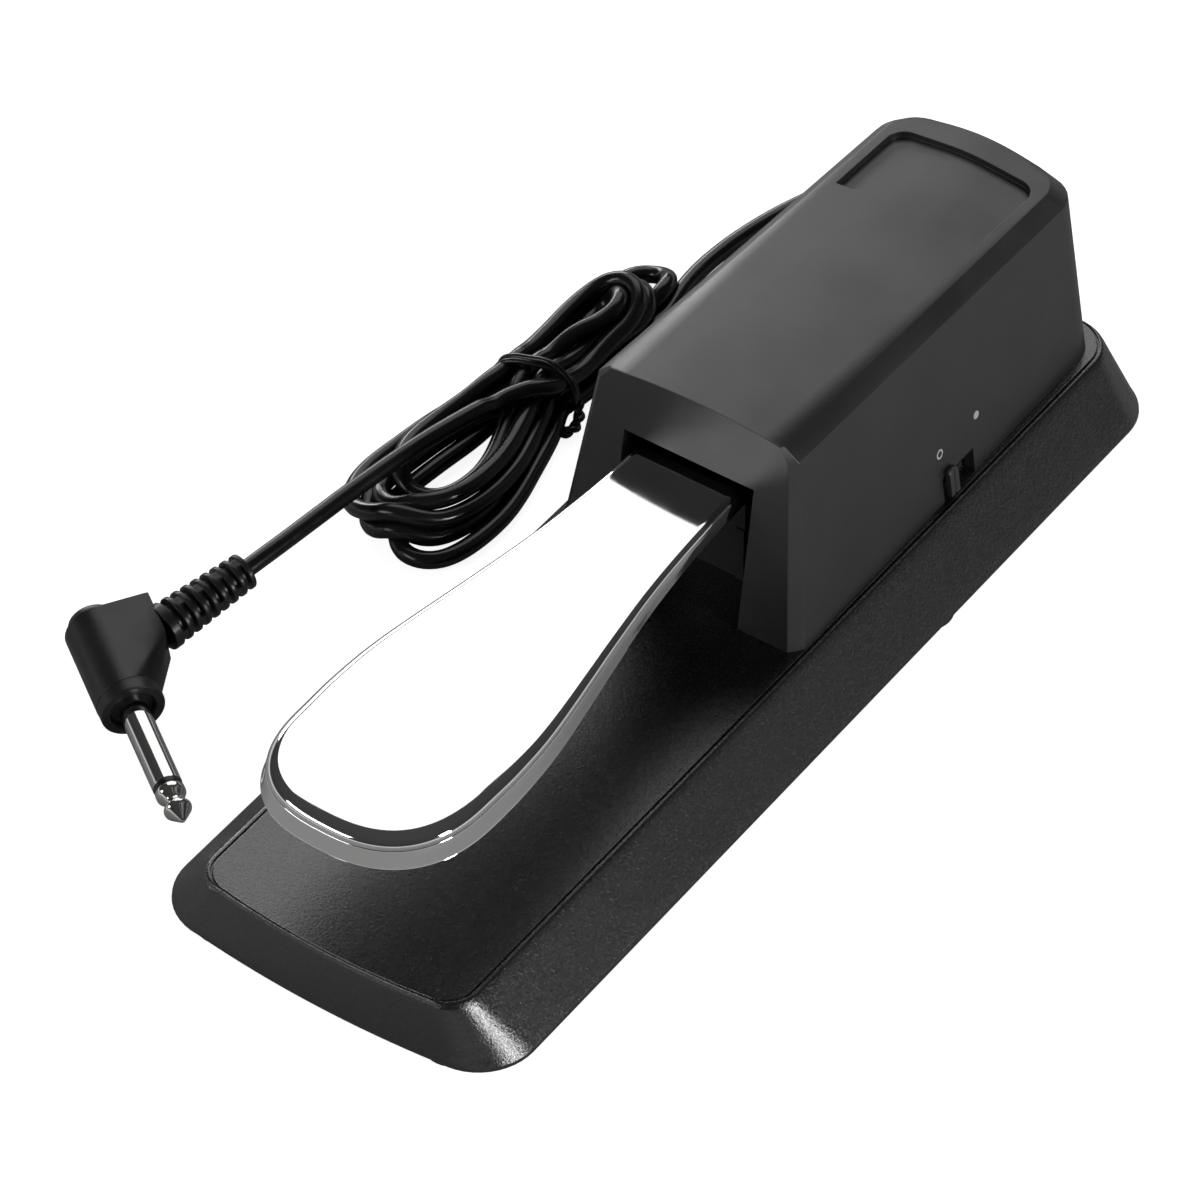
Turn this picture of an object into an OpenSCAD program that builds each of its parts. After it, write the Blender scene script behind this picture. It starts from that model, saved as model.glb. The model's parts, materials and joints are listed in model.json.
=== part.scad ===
// Sustain foot pedal: chrome treadle on a low base, mechanism in a rear housing,
// lead with a right-angle jack plug.
// Millimetres. Origin: centre of the base's footprint on the floor. +Z up, treadle's toe end towards -Y.

/* [Base] */
// Length of the base along Y
base_len = 246; // [236:1:256]
// Width of the base at the floor
base_w = 86; // [82:1:92]
// Height of the deck above the floor
deck_z = 15.5; // [14.5:0.5:17]
// Wall thickness of the moulded base
base_wall = 2.6; // [2:0.2:3]

/* [Housing] */
// Height of the housing's front top edge
top_front_z = 62.6; // [61:0.2:65]
// Height of the housing's rear top edge
top_rear_z = 58.8; // [57.4:0.2:60]
// Crown of the housing's top face
crown = 1.6; // [0.8:0.2:2]
// Wall thickness of the housing
cover_wall = 2.4; // [2:0.2:2.8]
// Width of the mouth that the treadle passes through
mouth_w = 32; // [31:0.5:33]

/* [Treadle] */
// Widest part of the treadle's toe
toe_w = 48.4; // [44:0.4:50]
// Width of the treadle's neck inside the housing
neck_w = 26; // [25:0.5:27]
// Sheet thickness of the treadle
sheet_t = 1.4; // [1.2:0.1:1.6]
// Depth of the turned-down skirt at the toe
skirt_toe = 7; // [5:0.5:8]
// Full travel of the treadle, degrees
travel_deg = 6.5; // [5:0.5:6.5]

/* [Lead] */
// Outside diameter of the lead
cord_d = 4; // [3.6:0.1:4.2]
// Height of the tied hank
hank_h = 12.6; // [12:0.2:13.2]

/* [Hidden] */
$fn = 48;
eps = 0.01;
fit = 0.05;

// Base outline
half_len = base_len / 2;
half_w = base_w / 2;
front_bow = 1.7;
floor_gap = 2;
deck_inset_side = 10.9;
deck_inset_front = 3;
deck_inset_rear = 1.2;
corner_low_r = 13;
corner_deck_r = 6;
corner_rear_r = 10;
edge_soft = 1.2;
deck_t = 2.8;
ceiling_z = deck_z - deck_t;
plate_t = 1.5;
plate_z = floor_gap;
plate_top = plate_z + plate_t;
foot_r = 6.5;
feet = [[-28, -114], [28, -114], [-36, 40], [36, 40], [-34, 97], [34, 97]];
plate_bosses = [[-17, -112], [17, -112], [-27, -7], [27, -7], [-30, 72], [30, 72]];
cover_bosses = [[-23.5, 12], [23.5, 12], [-22.6, 107], [22.6, 107]];
ballast_holes = [[0, -86], [0, -32]];
board_posts = [[-14, 84], [14, 84], [-14, 108], [14, 108]];

// Housing outline
cover_front = 0.2;
cover_front_top = 7.8;
cover_rear = 118.5;
cover_rear_top = 117.4;
cover_half_front = 30.8;
cover_half_rear = 29.2;
shoulder_half_front = 24.6;
shoulder_half_rear = 23.4;
shoulder = 3.3;
cover_r = 8;
cover_chamfer = 2;
mouth_top = 50;
slot_y0 = 56.6;
slot_y1 = 68.4;
slot_top = 21.4;
recess_y0 = 85;
recess_y1 = 108.6;
recess_half = 17.6;
recess_depth = 1.4;

// Mechanism
pivot_y = 70;
pivot_z = 38;
pin_r = 3;
rest_tilt = -0.85;
plate_rest_z = 46.5;
toe_y = -119;
toe_shoulder_y = -93;
tail_y = 93;
skirt_neck = 3.6;
lug_half = neck_w / 2;
lug_t = 1.6;
lug_r = 6.4;
lug_y0 = 44;
lug_y1 = 80;
rivets = [[-6, 50], [6, 50], [-6, 58], [6, 58]];
bracket_half = 18;
bracket_t = 1.6;
bracket_y0 = 61;
bracket_y1 = 79;
spring_y = 32;
spring_r = 5.6;
wire_r = 0.8;
spring_z0 = 19.3;
spring_z1 = 44.7;
spring_turns = 7;
stop_y0 = 13;
stop_y1 = 19;
upper_pad_z = 47.6;
pad_t = 2.6;
stop_top = plate_rest_z - sheet_t - (pivot_y - stop_y1) * sin(travel_deg);
post_h = stop_top - pad_t - deck_z;
contact_y = 87;
board_z = 20.4;
board_t = 1.6;
board_top = board_z + board_t;
contact_top = 31;
plunger_r = 1.5;
plunger_top = 32.6;
knob_y = 58.8;
knob_travel = 8;
knob_half = 2.2;
knob_gap = 0.3;
switch_wall = 1;
switch_x = 19.8;
switch_y0 = knob_y - knob_half - knob_gap - switch_wall;
switch_y1 = knob_y + knob_travel + knob_half + knob_gap + switch_wall;
standoff_flats = 4.6;

// Lead
cord_r = cord_d / 2;
exit_z = 9;
relief_end = 139;
switch_wires = [
    [[22.4, 70.6, 18.5], [22.4, 75, 18.8], [20.5, 80, 20.5], [17, 86, 23], [15, 89, 22.9], [14, 90, 22.7]],
    [[24.4, 70.6, 18.5], [24.4, 77, 18.8], [22.6, 84, 22], [19, 90, 24.2], [15, 91, 22.9], [14, 91.2, 22.7]]];
inner_lead = [[0, 117.5, 9], [0, 112, 9], [0, 107, 9.6], [0, 103.6, 12.5], [0, 103, 17], [0, 103, 23],
    [0, 102, 26], [-1, 99, 27.6], [-3, 96, 26.4], [-4, 95, 24]];
lead_route = [[0, 138, 9], [0, 143, 8.2], [-2, 150, 6.2], [-8, 158, 4.2], [-18, 163, 2.8], [-30, 163, 2.2],
    [-41, 158, 2.1], [-50, 149, 2.1], [-56, 137, 2.1], [-60, 125, 2.1], [-62.4, 113, 2.1],
    [-63.6, 101, 2.2], [-64, 97.2, 2.8]];
tail_route = [[-75.8, -11.6, 10.2], [-76.2, -17, 11.6], [-76.8, -22.4, 12.6], [-77.5, -28, 12.9],
    [-78.2, -33, 12.7], [-79, -37.8, 12.4], [-79.8, -42.1, 12]];
lead_rings = 34;
tail_rings = 8;
hank_x = -68;
hank_front_y = -16;
hank_waist_y = 47;
hank_rear_y = 99;
hank_waist = 8.6;
hank_front_half = 16;
hank_rear_half = 11.4;

// Plug
plug_at = [-76.2, -82.8, 6.8];
plug_heading = -33.2;
plug_tilt = 4.2;
plug_roll = 6;
relief_skew = 20;
jack_r = 3.175;
jack_start = 0.3;
jack_root_r = 2.6;
jack_len = 31.4;
sleeve_len = 21.6;
boot_face = 12.2;

function arc(cx, cy, r, a0, a1, n) =
    [for (i = [0:n]) let (a = a0 + (a1 - a0) * i / n) [cx + r * cos(a), cy + r * sin(a)]];
function bowed(x, half, y) = [x, y - front_bow * (1 - pow(x / half, 2))];

// Outline of the base, counter-clockwise from the front left, d inside the floor outline
function base_ring(side, front, rear, rf, rr) =
    let (w = half_w - side, y0 = -half_len + front_bow + front, y1 = half_len - rear)
    concat(
        arc(-w + rf, y0 + rf, rf, 180, 270, 5),
        [for (i = [-3:3]) bowed(i * (w - rf) / 4, w - rf, y0)],
        arc(w - rf, y0 + rf, rf, 270, 360, 5),
        arc(w - rr, y1 - rr, rr, 0, 90, 5),
        arc(-w + rr, y1 - rr, rr, 90, 180, 5));

function lift(ring, z) = [for (p = ring) [p[0], p[1], z]];

// Closed solid through a stack of rings that have the same number of points
module skin(rings) {
    n = len(rings[0]);
    m = len(rings);
    points = [for (ring = rings) for (p = ring) p];
    sides = [for (k = [0:m - 2]) for (i = [0:n - 1]) let (j = (i + 1) % n, a = k * n, b = (k + 1) * n)
        for (side = [[a + i, b + j, a + j], [a + i, b + i, b + j]]) side];
    low = [for (i = [1:n - 2]) [0, i, i + 1]];
    high = [for (i = [1:n - 2]) [(m - 1) * n, (m - 1) * n + i + 1, (m - 1) * n + i]];
    polyhedron(points = points, faces = concat(sides, low, high), convexity = 6);
}

// Round tube along a route, as one closed solid; side_way is never along the route
module tube(route, r, rings, sides, side_way) {
    path = [for (i = [0:rings]) spline(route, i / rings)];
    ways = [for (i = [0:rings]) unit(path[min(i + 1, rings)] - path[max(i - 1, 0)])];
    skin([for (i = [0:rings]) let (t = ways[i], a = unit(side_way - (side_way * t) * t), b = cross(t, a))
        [for (k = [0:sides - 1]) path[i] + r * cos(360 * k / sides) * a + r * sin(360 * k / sides) * b]]);
}

function unit(v) = v / norm(v);

// Point at share u of a smooth curve through the route
function spline(route, u) =
    let (n = len(route) - 1, s = min(u * n, n - eps / 100), i = floor(s), f = s - i,
        p0 = route[max(i - 1, 0)], p1 = route[i], p2 = route[i + 1], p3 = route[min(i + 2, n)])
    0.5 * (2 * p1 + (p2 - p0) * f + (2 * p0 - 5 * p1 + 4 * p2 - p3) * f * f
        + (3 * p1 - p0 - 3 * p2 + p3) * f * f * f);

module screw(at, head_z, tip_z, r, head_r, head_h) {
    translate([at[0], at[1], 0]) difference() {
        union() {
            translate([0, 0, head_z - head_h / 2]) cylinder(r = r, h = tip_z - head_z + head_h / 2);
            translate([0, 0, head_z - head_h]) cylinder(r = head_r, h = head_h);
        }
        for (a = [0, 90]) rotate([0, 0, a])
            translate([-head_r * 0.6, -head_r * 0.12, head_z - head_h - eps])
                cube([head_r * 1.2, head_r * 0.24, head_h * 0.45]);
    }
}

// ---- Base ----

// Levels of the base: side, front and rear insets, front and rear corner radii, height
base_levels = [
    [0, 0, 0, corner_low_r, corner_low_r, floor_gap],
    [0.6, 0.2, 0.1, corner_low_r, corner_low_r, floor_gap + 1.6],
    [deck_inset_side - edge_soft, deck_inset_front - 0.5, deck_inset_rear - 0.4,
        corner_deck_r + 1.5, corner_rear_r + 0.5, deck_z - edge_soft],
    [deck_inset_side - edge_soft / 3, deck_inset_front, deck_inset_rear,
        corner_deck_r + 0.6, corner_rear_r, deck_z - edge_soft / 3],
    [deck_inset_side + edge_soft / 2, deck_inset_front + edge_soft, deck_inset_rear + edge_soft,
        corner_deck_r, corner_rear_r - 1, deck_z]];
cavity_levels = [
    [base_wall, base_wall, base_wall, corner_low_r - base_wall, corner_low_r - base_wall, floor_gap - eps],
    [base_wall + 0.6, base_wall + 0.2, base_wall + 0.1,
        corner_low_r - base_wall, corner_low_r - base_wall, floor_gap + 1.6],
    [deck_inset_side + base_wall / 2, deck_inset_front + base_wall, deck_inset_rear + base_wall,
        corner_deck_r, corner_rear_r - base_wall, ceiling_z]];

function base_level(v) = lift(base_ring(v[0], v[1], v[2], v[3], v[4]), v[5]);

module base_shell() color([0.1, 0.1, 0.11]) {
    difference() {
        union() {
            difference() {
                skin([for (level = base_levels) base_level(level)]);
                skin([for (level = cavity_levels) base_level(level)]);
            }
            base_ribs();
            for (p = plate_bosses) translate([p[0], p[1], plate_top + fit])
                cylinder(r = 3.4, h = ceiling_z - plate_top + 0.6);
        }
        for (p = plate_bosses) translate([p[0], p[1], plate_top - eps]) cylinder(r = 1.5 + fit, h = 8);
        for (p = cover_bosses) translate([p[0], p[1], ceiling_z - 1]) cylinder(r = 1.8, h = deck_t + 2);
        for (p = board_posts) translate([p[0], p[1], deck_z - 2]) cylinder(r = 1.1 + fit, h = 10);
        for (x = [-9, 9]) translate([x, pivot_y, ceiling_z - 1]) cylinder(r = 1.6, h = deck_t + 2);
        translate([0, half_len - 8, exit_z]) rotate([-90, 0, 0]) cylinder(r = 3.2 + fit, h = 12);
        translate([0, 103, ceiling_z - 1]) cylinder(r = 3.4, h = deck_t + 2);
        for (x = [-9, 9]) translate([x, 110, ceiling_z - eps]) cylinder(r = 1.1 + fit, h = 2);
    }
}

module base_ribs() {
    for (y = [-12, 24]) difference() {
        translate([-half_w + deck_inset_side + 3, y, plate_top + 0.4])
            cube([base_w - 2 * deck_inset_side - 6, 1.8, ceiling_z - plate_top + 0.4]);
        translate([-20, y - 1, plate_top]) cube([40, 4, 3]);
    }
    for (x = [-15, 13.2]) translate([x, 30, plate_top + 0.4]) cube([1.8, 60, ceiling_z - plate_top + 0.4]);
}

module bottom_plate() color([0.55, 0.56, 0.58]) difference() {
    translate([0, 0, plate_z]) linear_extrude(height = plate_t)
        polygon(base_ring(base_wall + 1, base_wall + 0.8, base_wall + 0.6,
            corner_low_r - base_wall, corner_low_r - base_wall));
    for (p = plate_bosses) translate([p[0], p[1], plate_z - 1]) cylinder(r = 1.8, h = plate_t + 2);
    for (p = ballast_holes) translate([p[0], p[1], plate_z - 1]) cylinder(r = 1.8, h = plate_t + 2);
    for (p = cover_bosses) translate([p[0], p[1], plate_z - 1]) cylinder(r = 4, h = plate_t + 2);
}

module bottom_screws() color([0.75, 0.75, 0.77]) for (p = concat(plate_bosses, ballast_holes))
    screw(p, plate_z, plate_z + 8.5, 1.5, 3, 1.2);

module ballast_bar() color([0.3, 0.3, 0.32]) difference() {
    translate([-25, -104, plate_top]) cube([50, 88, 7.4]);
    for (p = ballast_holes) translate([p[0], p[1], plate_top - 1]) cylinder(r = 1.5 + fit, h = 10);
    for (x = [-25, 25]) translate([x, -104, plate_top - 1]) rotate([0, 0, 45])
        cube([6, 6, 20], center = true);
}

module rubber_feet() color([0.14, 0.14, 0.14]) for (p = feet) translate([p[0], p[1], 0]) difference() {
    rotate_extrude() polygon([[0, 0], [foot_r - 0.7, 0], [foot_r, 0.7], [foot_r, plate_z], [0, plate_z]]);
    translate([0, 0, -1]) cylinder(r = 2.4, h = 1.7);
}

// ---- Housing ----

// Ring of the housing at one level, d inside its outer face
function cover_ring(wf, wr, yf, yr, zf, zr, rise, d) =
    let (a = wf - d, b = wr - d, r = max(cover_r - d, 1), y0 = yf + d, y1 = yr - d, c = cover_chamfer)
    concat(
        [[-a, y0 + c, zf], [-a + c, y0, zf]],
        [for (i = [-4:4]) [i * (a - c) / 4.6, y0, zf + rise * (1 - pow(i / 4.6, 2))]],
        [[a - c, y0, zf], [a, y0 + c, zf]],
        [for (q = arc(b - r, y1 - r, r, 0, 90, 5)) [q[0], q[1], zr]],
        [for (i = [4:-1:-4]) [i * (b - r) / 4.6, y1, zr + rise * (1 - pow(i / 4.6, 2))]],
        [for (q = arc(-b + r, y1 - r, r, 90, 180, 5)) [q[0], q[1], zr]]);

// Convex body of the housing, d inside its outer faces
module cover_body(d, base) hull() skin([
    cover_ring(cover_half_front, cover_half_rear, cover_front, cover_rear, base, base, 0, d),
    cover_ring(shoulder_half_front, shoulder_half_rear, cover_front_top - 0.5, cover_rear_top,
        top_front_z - shoulder - d / 2, top_rear_z - shoulder - d / 2, 0, d),
    cover_ring(shoulder_half_front - shoulder, shoulder_half_rear - shoulder,
        cover_front_top, cover_rear_top - 2, top_front_z - d, top_rear_z - d, crown, d)]);

module housing_cover() color([0.13, 0.13, 0.14]) {
    difference() {
        union() {
            difference() {
                cover_body(0, deck_z);
                difference() {
                    cover_body(cover_wall, deck_z - 0.05);
                    translate([-10, 0, mouth_top + 0.2]) cube([20, 22, 20]);
                }
            }
            for (p = cover_bosses) translate([p[0], p[1], deck_z]) cylinder(r = 3.1, h = 12);
        }
        translate([-mouth_w / 2, -5, deck_z - 1]) cube([mouth_w, 16, mouth_top - deck_z + 1]);
        translate([cover_half_rear - 4, slot_y0, deck_z - 1])
            cube([12, slot_y1 - slot_y0, slot_top - deck_z + 1]);
        for (p = cover_bosses) translate([p[0], p[1], deck_z - 1]) cylinder(r = 1.4 + fit, h = 12);
        top_recess();
    }
}

// Shallow recess near the rear of the top face, its floor following the crown
module top_recess() difference() {
    translate([0, recess_y0, top_rear_z - 4]) linear_extrude(height = 12)
        polygon(concat(
            [[-recess_half, 0], [recess_half, 0]],
            arc(recess_half - 4, recess_y1 - recess_y0 - 4, 4, 0, 90, 4),
            arc(-recess_half + 4, recess_y1 - recess_y0 - 4, 4, 90, 180, 4)));
    cover_body(recess_depth, deck_z);
}

module cover_screws() color([0.75, 0.75, 0.77]) for (p = cover_bosses)
    screw(p, ceiling_z, deck_z + 9.5, 1.4, 2.8, 1.6);

// ---- Pivot, spring and stops ----

module axle_bracket() color([0.7, 0.7, 0.72]) difference() {
    union() {
        translate([-bracket_half, bracket_y0, deck_z])
            cube([2 * bracket_half, bracket_y1 - bracket_y0, bracket_t]);
        for (s = [-1, 1]) translate([s * (bracket_half - bracket_t / 2), 0, 0]) rotate([0, 90, 0])
            linear_extrude(height = bracket_t, center = true) union() {
                translate([-pivot_z, pivot_y]) circle(r = 7);
                polygon([[-deck_z, bracket_y0], [-deck_z, bracket_y1],
                    [-pivot_z, pivot_y + 7], [-pivot_z, pivot_y - 7]]);
            }
    }
    translate([-30, pivot_y, pivot_z]) rotate([0, 90, 0]) cylinder(r = pin_r + fit / 2, h = 60);
    for (x = [-9, 9]) translate([x, pivot_y, deck_z - 1]) cylinder(r = 1.6, h = 5);
}

module bracket_screws() color([0.75, 0.75, 0.77]) for (x = [-9, 9]) {
    screw([x, pivot_y], ceiling_z, deck_z + bracket_t + 2.6, 1.5, 3, 1.6);
    translate([x, pivot_y, deck_z + bracket_t]) difference() {
        cylinder(r = 3.1, h = 2.2, $fn = 6);
        translate([0, 0, -1]) cylinder(r = 1.55, h = 5);
    }
}

module axle_pin() color([0.8, 0.8, 0.82]) translate([0, pivot_y, pivot_z]) rotate([0, 90, 0]) rotate_extrude()
    polygon([[0, -20.6], [4.4, -20.6], [4.4, -18.2], [pin_r, -18.1], [pin_r, 18.4], [pin_r - 0.6, 18.4],
        [pin_r - 0.6, 19.3], [pin_r, 19.3], [pin_r, 20.6], [pin_r - 0.6, 21.2], [0, 21.2]]);

module axle_clip() color([0.45, 0.45, 0.47])
    translate([18.45, pivot_y, pivot_z]) rotate([0, 90, 0]) difference() {
        cylinder(r = 5, h = 0.8);
        translate([0, 0, -1]) cylinder(r = pin_r - 0.55, h = 3);
        translate([0, -2, -1]) cube([8, 4, 3]);
    }

module return_spring() color([0.62, 0.62, 0.65]) {
    per_turn = 14;
    n = spring_turns * per_turn;
    rise = spring_z1 - spring_z0 - 2 * wire_r;
    skin([for (i = [0:n]) let (a = i * 360 / per_turn, z = spring_z0 + wire_r + rise * i / n)
        [for (k = [0:7]) let (q = 45 * k, r = spring_r + wire_r * cos(q))
            [r * cos(a), spring_y + r * sin(a), z - wire_r * sin(q)]]]);
}

module spring_seat() color([0.85, 0.83, 0.76]) translate([0, spring_y, 0]) rotate_extrude()
    polygon([[0, deck_z], [8.5, deck_z], [8.5, spring_z0 + 1.2], [7, spring_z0 + 1.2], [7, spring_z0],
        [4.4, spring_z0], [4.4, spring_z0 + 4], [0, spring_z0 + 5]]);

module stop_post() color([0.13, 0.13, 0.14]) difference() {
    union() {
        translate([-9, stop_y0, deck_z]) cube([18, stop_y1 - stop_y0, post_h]);
        for (x = [-9, 7]) translate([x, stop_y0 - 0.4, deck_z]) cube([2, stop_y1 - stop_y0 + 3, 14]);
        translate([-11, stop_y0, deck_z]) cube([22, stop_y1 - stop_y0 + 3, 2]);
    }
    translate([-6, stop_y0 + 2, deck_z - 1]) cube([12, stop_y1 - stop_y0, 17]);
}

module lower_stop_pad() color([0.2, 0.2, 0.2]) translate([-8, stop_y0 + 0.5, deck_z + post_h])
    cube([16, stop_y1 - stop_y0 - 1, pad_t]);

module upper_stop_pad() color([0.35, 0.1, 0.1]) translate([-8, stop_y0, upper_pad_z])
    cube([16, stop_y1 - stop_y0, mouth_top + 0.2 - upper_pad_z]);

// ---- Contact, board and polarity switch ----

// Hexagonal spacers that hold the board above the deck
module board_standoffs() color([0.8, 0.66, 0.3]) for (p = board_posts)
    translate([p[0], p[1], 0]) difference() {
        union() {
            translate([0, 0, deck_z - 1.8]) cylinder(r = 1.1, h = 3);
            translate([0, 0, deck_z]) cylinder(d = standoff_flats / cos(30), h = board_z - deck_z, $fn = 6);
        }
        translate([0, 0, deck_z + 1]) cylinder(r = 1.1 + fit, h = 10);
    }

module circuit_board() color([0.1, 0.35, 0.18]) difference() {
    translate([-17, 80.5, board_z]) cube([34, 31, board_t]);
    for (p = board_posts) translate([p[0], p[1], board_z - 1]) cylinder(r = 1.5, h = 5);
    translate([0, 103, board_z - 1]) cylinder(r = 3.4, h = 5);
}

module board_screws() color([0.75, 0.75, 0.77]) for (p = board_posts)
    translate([p[0], p[1], 2 * board_top]) mirror([0, 0, 1])
        screw([0, 0], board_top, board_top + 4.6, 1.1, 2.2, 1.3);

module contact_block() color([0.18, 0.18, 0.2]) difference() {
    translate([-6.2, contact_y - 5.5, board_top]) cube([12.4, 11, contact_top - board_top]);
    translate([0, contact_y, contact_top - 3]) cylinder(r = plunger_r + fit + 0.02, h = 4);
    translate([0, contact_y, board_top + 1]) cylinder(r = 3, h = 5.4);
}

module contact_plunger() color([0.75, 0.15, 0.12]) translate([0, contact_y, 0]) rotate_extrude()
    polygon([[0, 23.6], [2.6, 23.6], [2.6, 24.8], [plunger_r, 24.8], [plunger_r, plunger_top - 0.5],
        [plunger_r - 0.5, plunger_top], [0, plunger_top]]);

module board_parts() color([0.12, 0.12, 0.12]) {
    translate([10, 92, board_top]) cube([5, 3.2, 1.4]);
    translate([9.4, 98, board_top]) cube([6, 4, 5]);
    for (x = [-14, -11, -8]) translate([x, 93, board_top]) cube([1.8, 1.2, 0.7]);
    translate([-12, 100, board_top]) cylinder(r = 2.2, h = 5.5);
}

module polarity_switch() color([0.72, 0.72, 0.74]) difference() {
    translate([switch_x, switch_y0, deck_z]) cube([6.6, switch_y1 - switch_y0, 6.2]);
    translate([switch_x + 1, switch_y0 + switch_wall, deck_z + 1])
        cube([4.8, switch_y1 - switch_y0 - 2 * switch_wall, 4.2]);
    translate([switch_x + 5, slot_y0, deck_z + 1.3]) cube([3, slot_y1 - slot_y0, 3.6]);
}

// Slider inside the switch, its neck through the housing's slot, and the finger cap that leans with the wall
module polarity_knob() color([0.3, 0.3, 0.31]) translate([0, knob_y, deck_z]) {
    translate([switch_x + 1.4, -knob_half, 1.3]) cube([4, 2 * knob_half, 3.6]);
    translate([switch_x + 5, -1.3, 1.6]) cube([30.6 - switch_x - 5, 2.6, 3]);
    translate([30.1, -1.6, 1.4]) rotate([0, -8, 0]) difference() {
        cube([1.3, 3.2, 6.6]);
        translate([0.9, 1.3, -1]) cube([1, 0.6, 7]);
    }
}

module inner_wires() color([0.7, 0.12, 0.1]) {
    for (route = switch_wires) tube(route, 0.6, 12, 8, [1, 0, 0]);
    tube(inner_lead, 1.5, 20, 8, [1, 0, 0]);
}

module cable_clamp() color([0.13, 0.13, 0.14]) {
    difference() {
        translate([-12, 106.5, ceiling_z - 6]) cube([24, 7, 6]);
        translate([0, 100, exit_z]) rotate([-90, 0, 0]) cylinder(r = 2.6, h = 20);
        translate([-2.6, 100, exit_z]) cube([5.2, 20, 10]);
        for (x = [-9, 9]) translate([x, 110, 0]) cylinder(r = 1.2, h = 30);
    }
    for (x = [-9, 9]) screw([x, 110], ceiling_z - 6, ceiling_z + 1.8, 1.1, 2.2, 1.2);
}

// ---- Treadle ----

// Half-width of the treadle at y
function toe_half(y) =
    let (w = toe_w / 2, t = (toe_shoulder_y - y) / (toe_shoulder_y - toe_y))
    y <= toe_shoulder_y ? w * pow(max(1 - pow(t, 2.5), 0), 0.4)
    : lookup(y, [[-93, w], [-86, w], [-80, w - 0.3], [-75, w - 0.7], [-69, w - 1.5], [-62, w - 2.7],
        [-54, w - 4.2], [-46, w - 5.7], [-38, w - 7.1], [-30, w - 8.4], [-20, w - 9.6], [-8, w - 10.6],
        [4, neck_w / 2], [100, neck_w / 2]]);

toe_steps = [for (a = [90:-10:0]) toe_shoulder_y - (toe_shoulder_y - toe_y) * pow(sin(a), 0.8)];
neck_steps = [-86, -80, -75, -69, -62, -54, -46, -38, -30, -20, -8, 4];

// Outline of the treadle, d inside its edge
function treadle_ring(d, y_end) =
    let (ys = concat(toe_steps, neck_steps, [y_end]),
        right = [for (y = ys) [max(toe_half(y) - d, 0.02), y + d * toe_share(y)]],
        n = len(right))
    concat(right, [for (i = [n - 1:-1:0]) [-right[i][0], right[i][1]]]);

// 1 at the toe's end, 0 from its shoulder back
function toe_share(y) = max((toe_shoulder_y - y) / (toe_shoulder_y - toe_y), 0);

module treadle_frame()
    translate([0, pivot_y, pivot_z]) rotate([rest_tilt, 0, 0]) translate([0, -pivot_y, -pivot_z]) children();

module treadle_plate() color([0.85, 0.86, 0.88]) treadle_frame() difference() {
    union() {
        translate([0, 0, plate_rest_z - 0.4]) linear_extrude(height = 0.4) polygon(treadle_ring(1, tail_y));
        translate([0, 0, plate_rest_z - 1.1]) linear_extrude(height = 0.7)
            polygon(treadle_ring(0.35, tail_y));
        translate([0, 0, plate_rest_z - skirt_toe]) linear_extrude(height = skirt_toe - 1.1)
            polygon(treadle_ring(0, tail_y));
    }
    translate([0, 0, plate_rest_z - skirt_toe - 1]) linear_extrude(height = skirt_toe + 1 - sheet_t)
        polygon(treadle_ring(sheet_t, tail_y + 5));
    translate([-40, -60, plate_rest_z - 20]) rotate([2.2, 0, 0]) cube([80, 90, 20 - skirt_toe]);
    translate([-40, 18, plate_rest_z - 20]) cube([80, 90, 20 - skirt_neck + 0.6]);
    for (p = rivets) translate([p[0], p[1], plate_rest_z - 5]) cylinder(r = 1.5 + fit, h = 10);
    translate([0, contact_y, plate_rest_z - 5]) cylinder(r = 1.5 + fit, h = 10);
}

module treadle_lugs() color([0.6, 0.6, 0.63]) treadle_frame() difference() {
    union() {
        translate([-lug_half + sheet_t + 0.1, lug_y0, plate_rest_z - sheet_t - lug_t])
            cube([neck_w - 2 * sheet_t - 0.2, lug_y1 - lug_y0, lug_t]);
        for (s = [-1, 1]) translate([s * (lug_half - sheet_t - 0.1 - lug_t / 2), 0, 0]) rotate([0, 90, 0])
            linear_extrude(height = lug_t, center = true) union() {
                translate([-pivot_z, pivot_y]) circle(r = lug_r);
                polygon([[-pivot_z, pivot_y - lug_r], [-pivot_z, pivot_y + lug_r],
                    [-plate_rest_z + sheet_t, lug_y1], [-plate_rest_z + sheet_t, lug_y0],
                    [-plate_rest_z + 6, lug_y0]]);
            }
    }
    translate([-30, pivot_y, pivot_z]) rotate([0, 90, 0]) cylinder(r = 4 + fit / 2, h = 60);
    for (p = rivets) translate([p[0], p[1], plate_rest_z - 6]) cylinder(r = 1.5 + fit, h = 10);
}

module pivot_bushes() color([0.9, 0.88, 0.8]) translate([0, pivot_y, pivot_z])
    for (s = [-1, 1]) rotate([0, 90 * s, 0]) rotate_extrude()
        polygon([[pin_r + fit, 8.6], [4, 8.6], [4, 11.7], [5.2, 11.7], [5.2, 15.8], [pin_r + fit, 15.8]]);

module treadle_rivets() color([0.8, 0.8, 0.82]) treadle_frame() for (p = rivets)
    translate([p[0], p[1], plate_rest_z]) rotate_extrude()
        polygon([[0, -4.4], [2.4, -4.4], [2.4, -sheet_t - lug_t], [1.5, -sheet_t - lug_t], [1.5, 0], [2.6, 0],
            [1.8, 1], [0, 1.2]]);

module spring_cup() color([0.9, 0.88, 0.8]) treadle_frame()
    translate([0, spring_y, plate_rest_z - sheet_t]) rotate_extrude()
        polygon([[0, 0], [8, 0], [8, -1.6], [6.9, -1.6], [6.9, -0.8], [4.3, -0.8], [4.3, -4.5], [0, -5]]);

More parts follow.
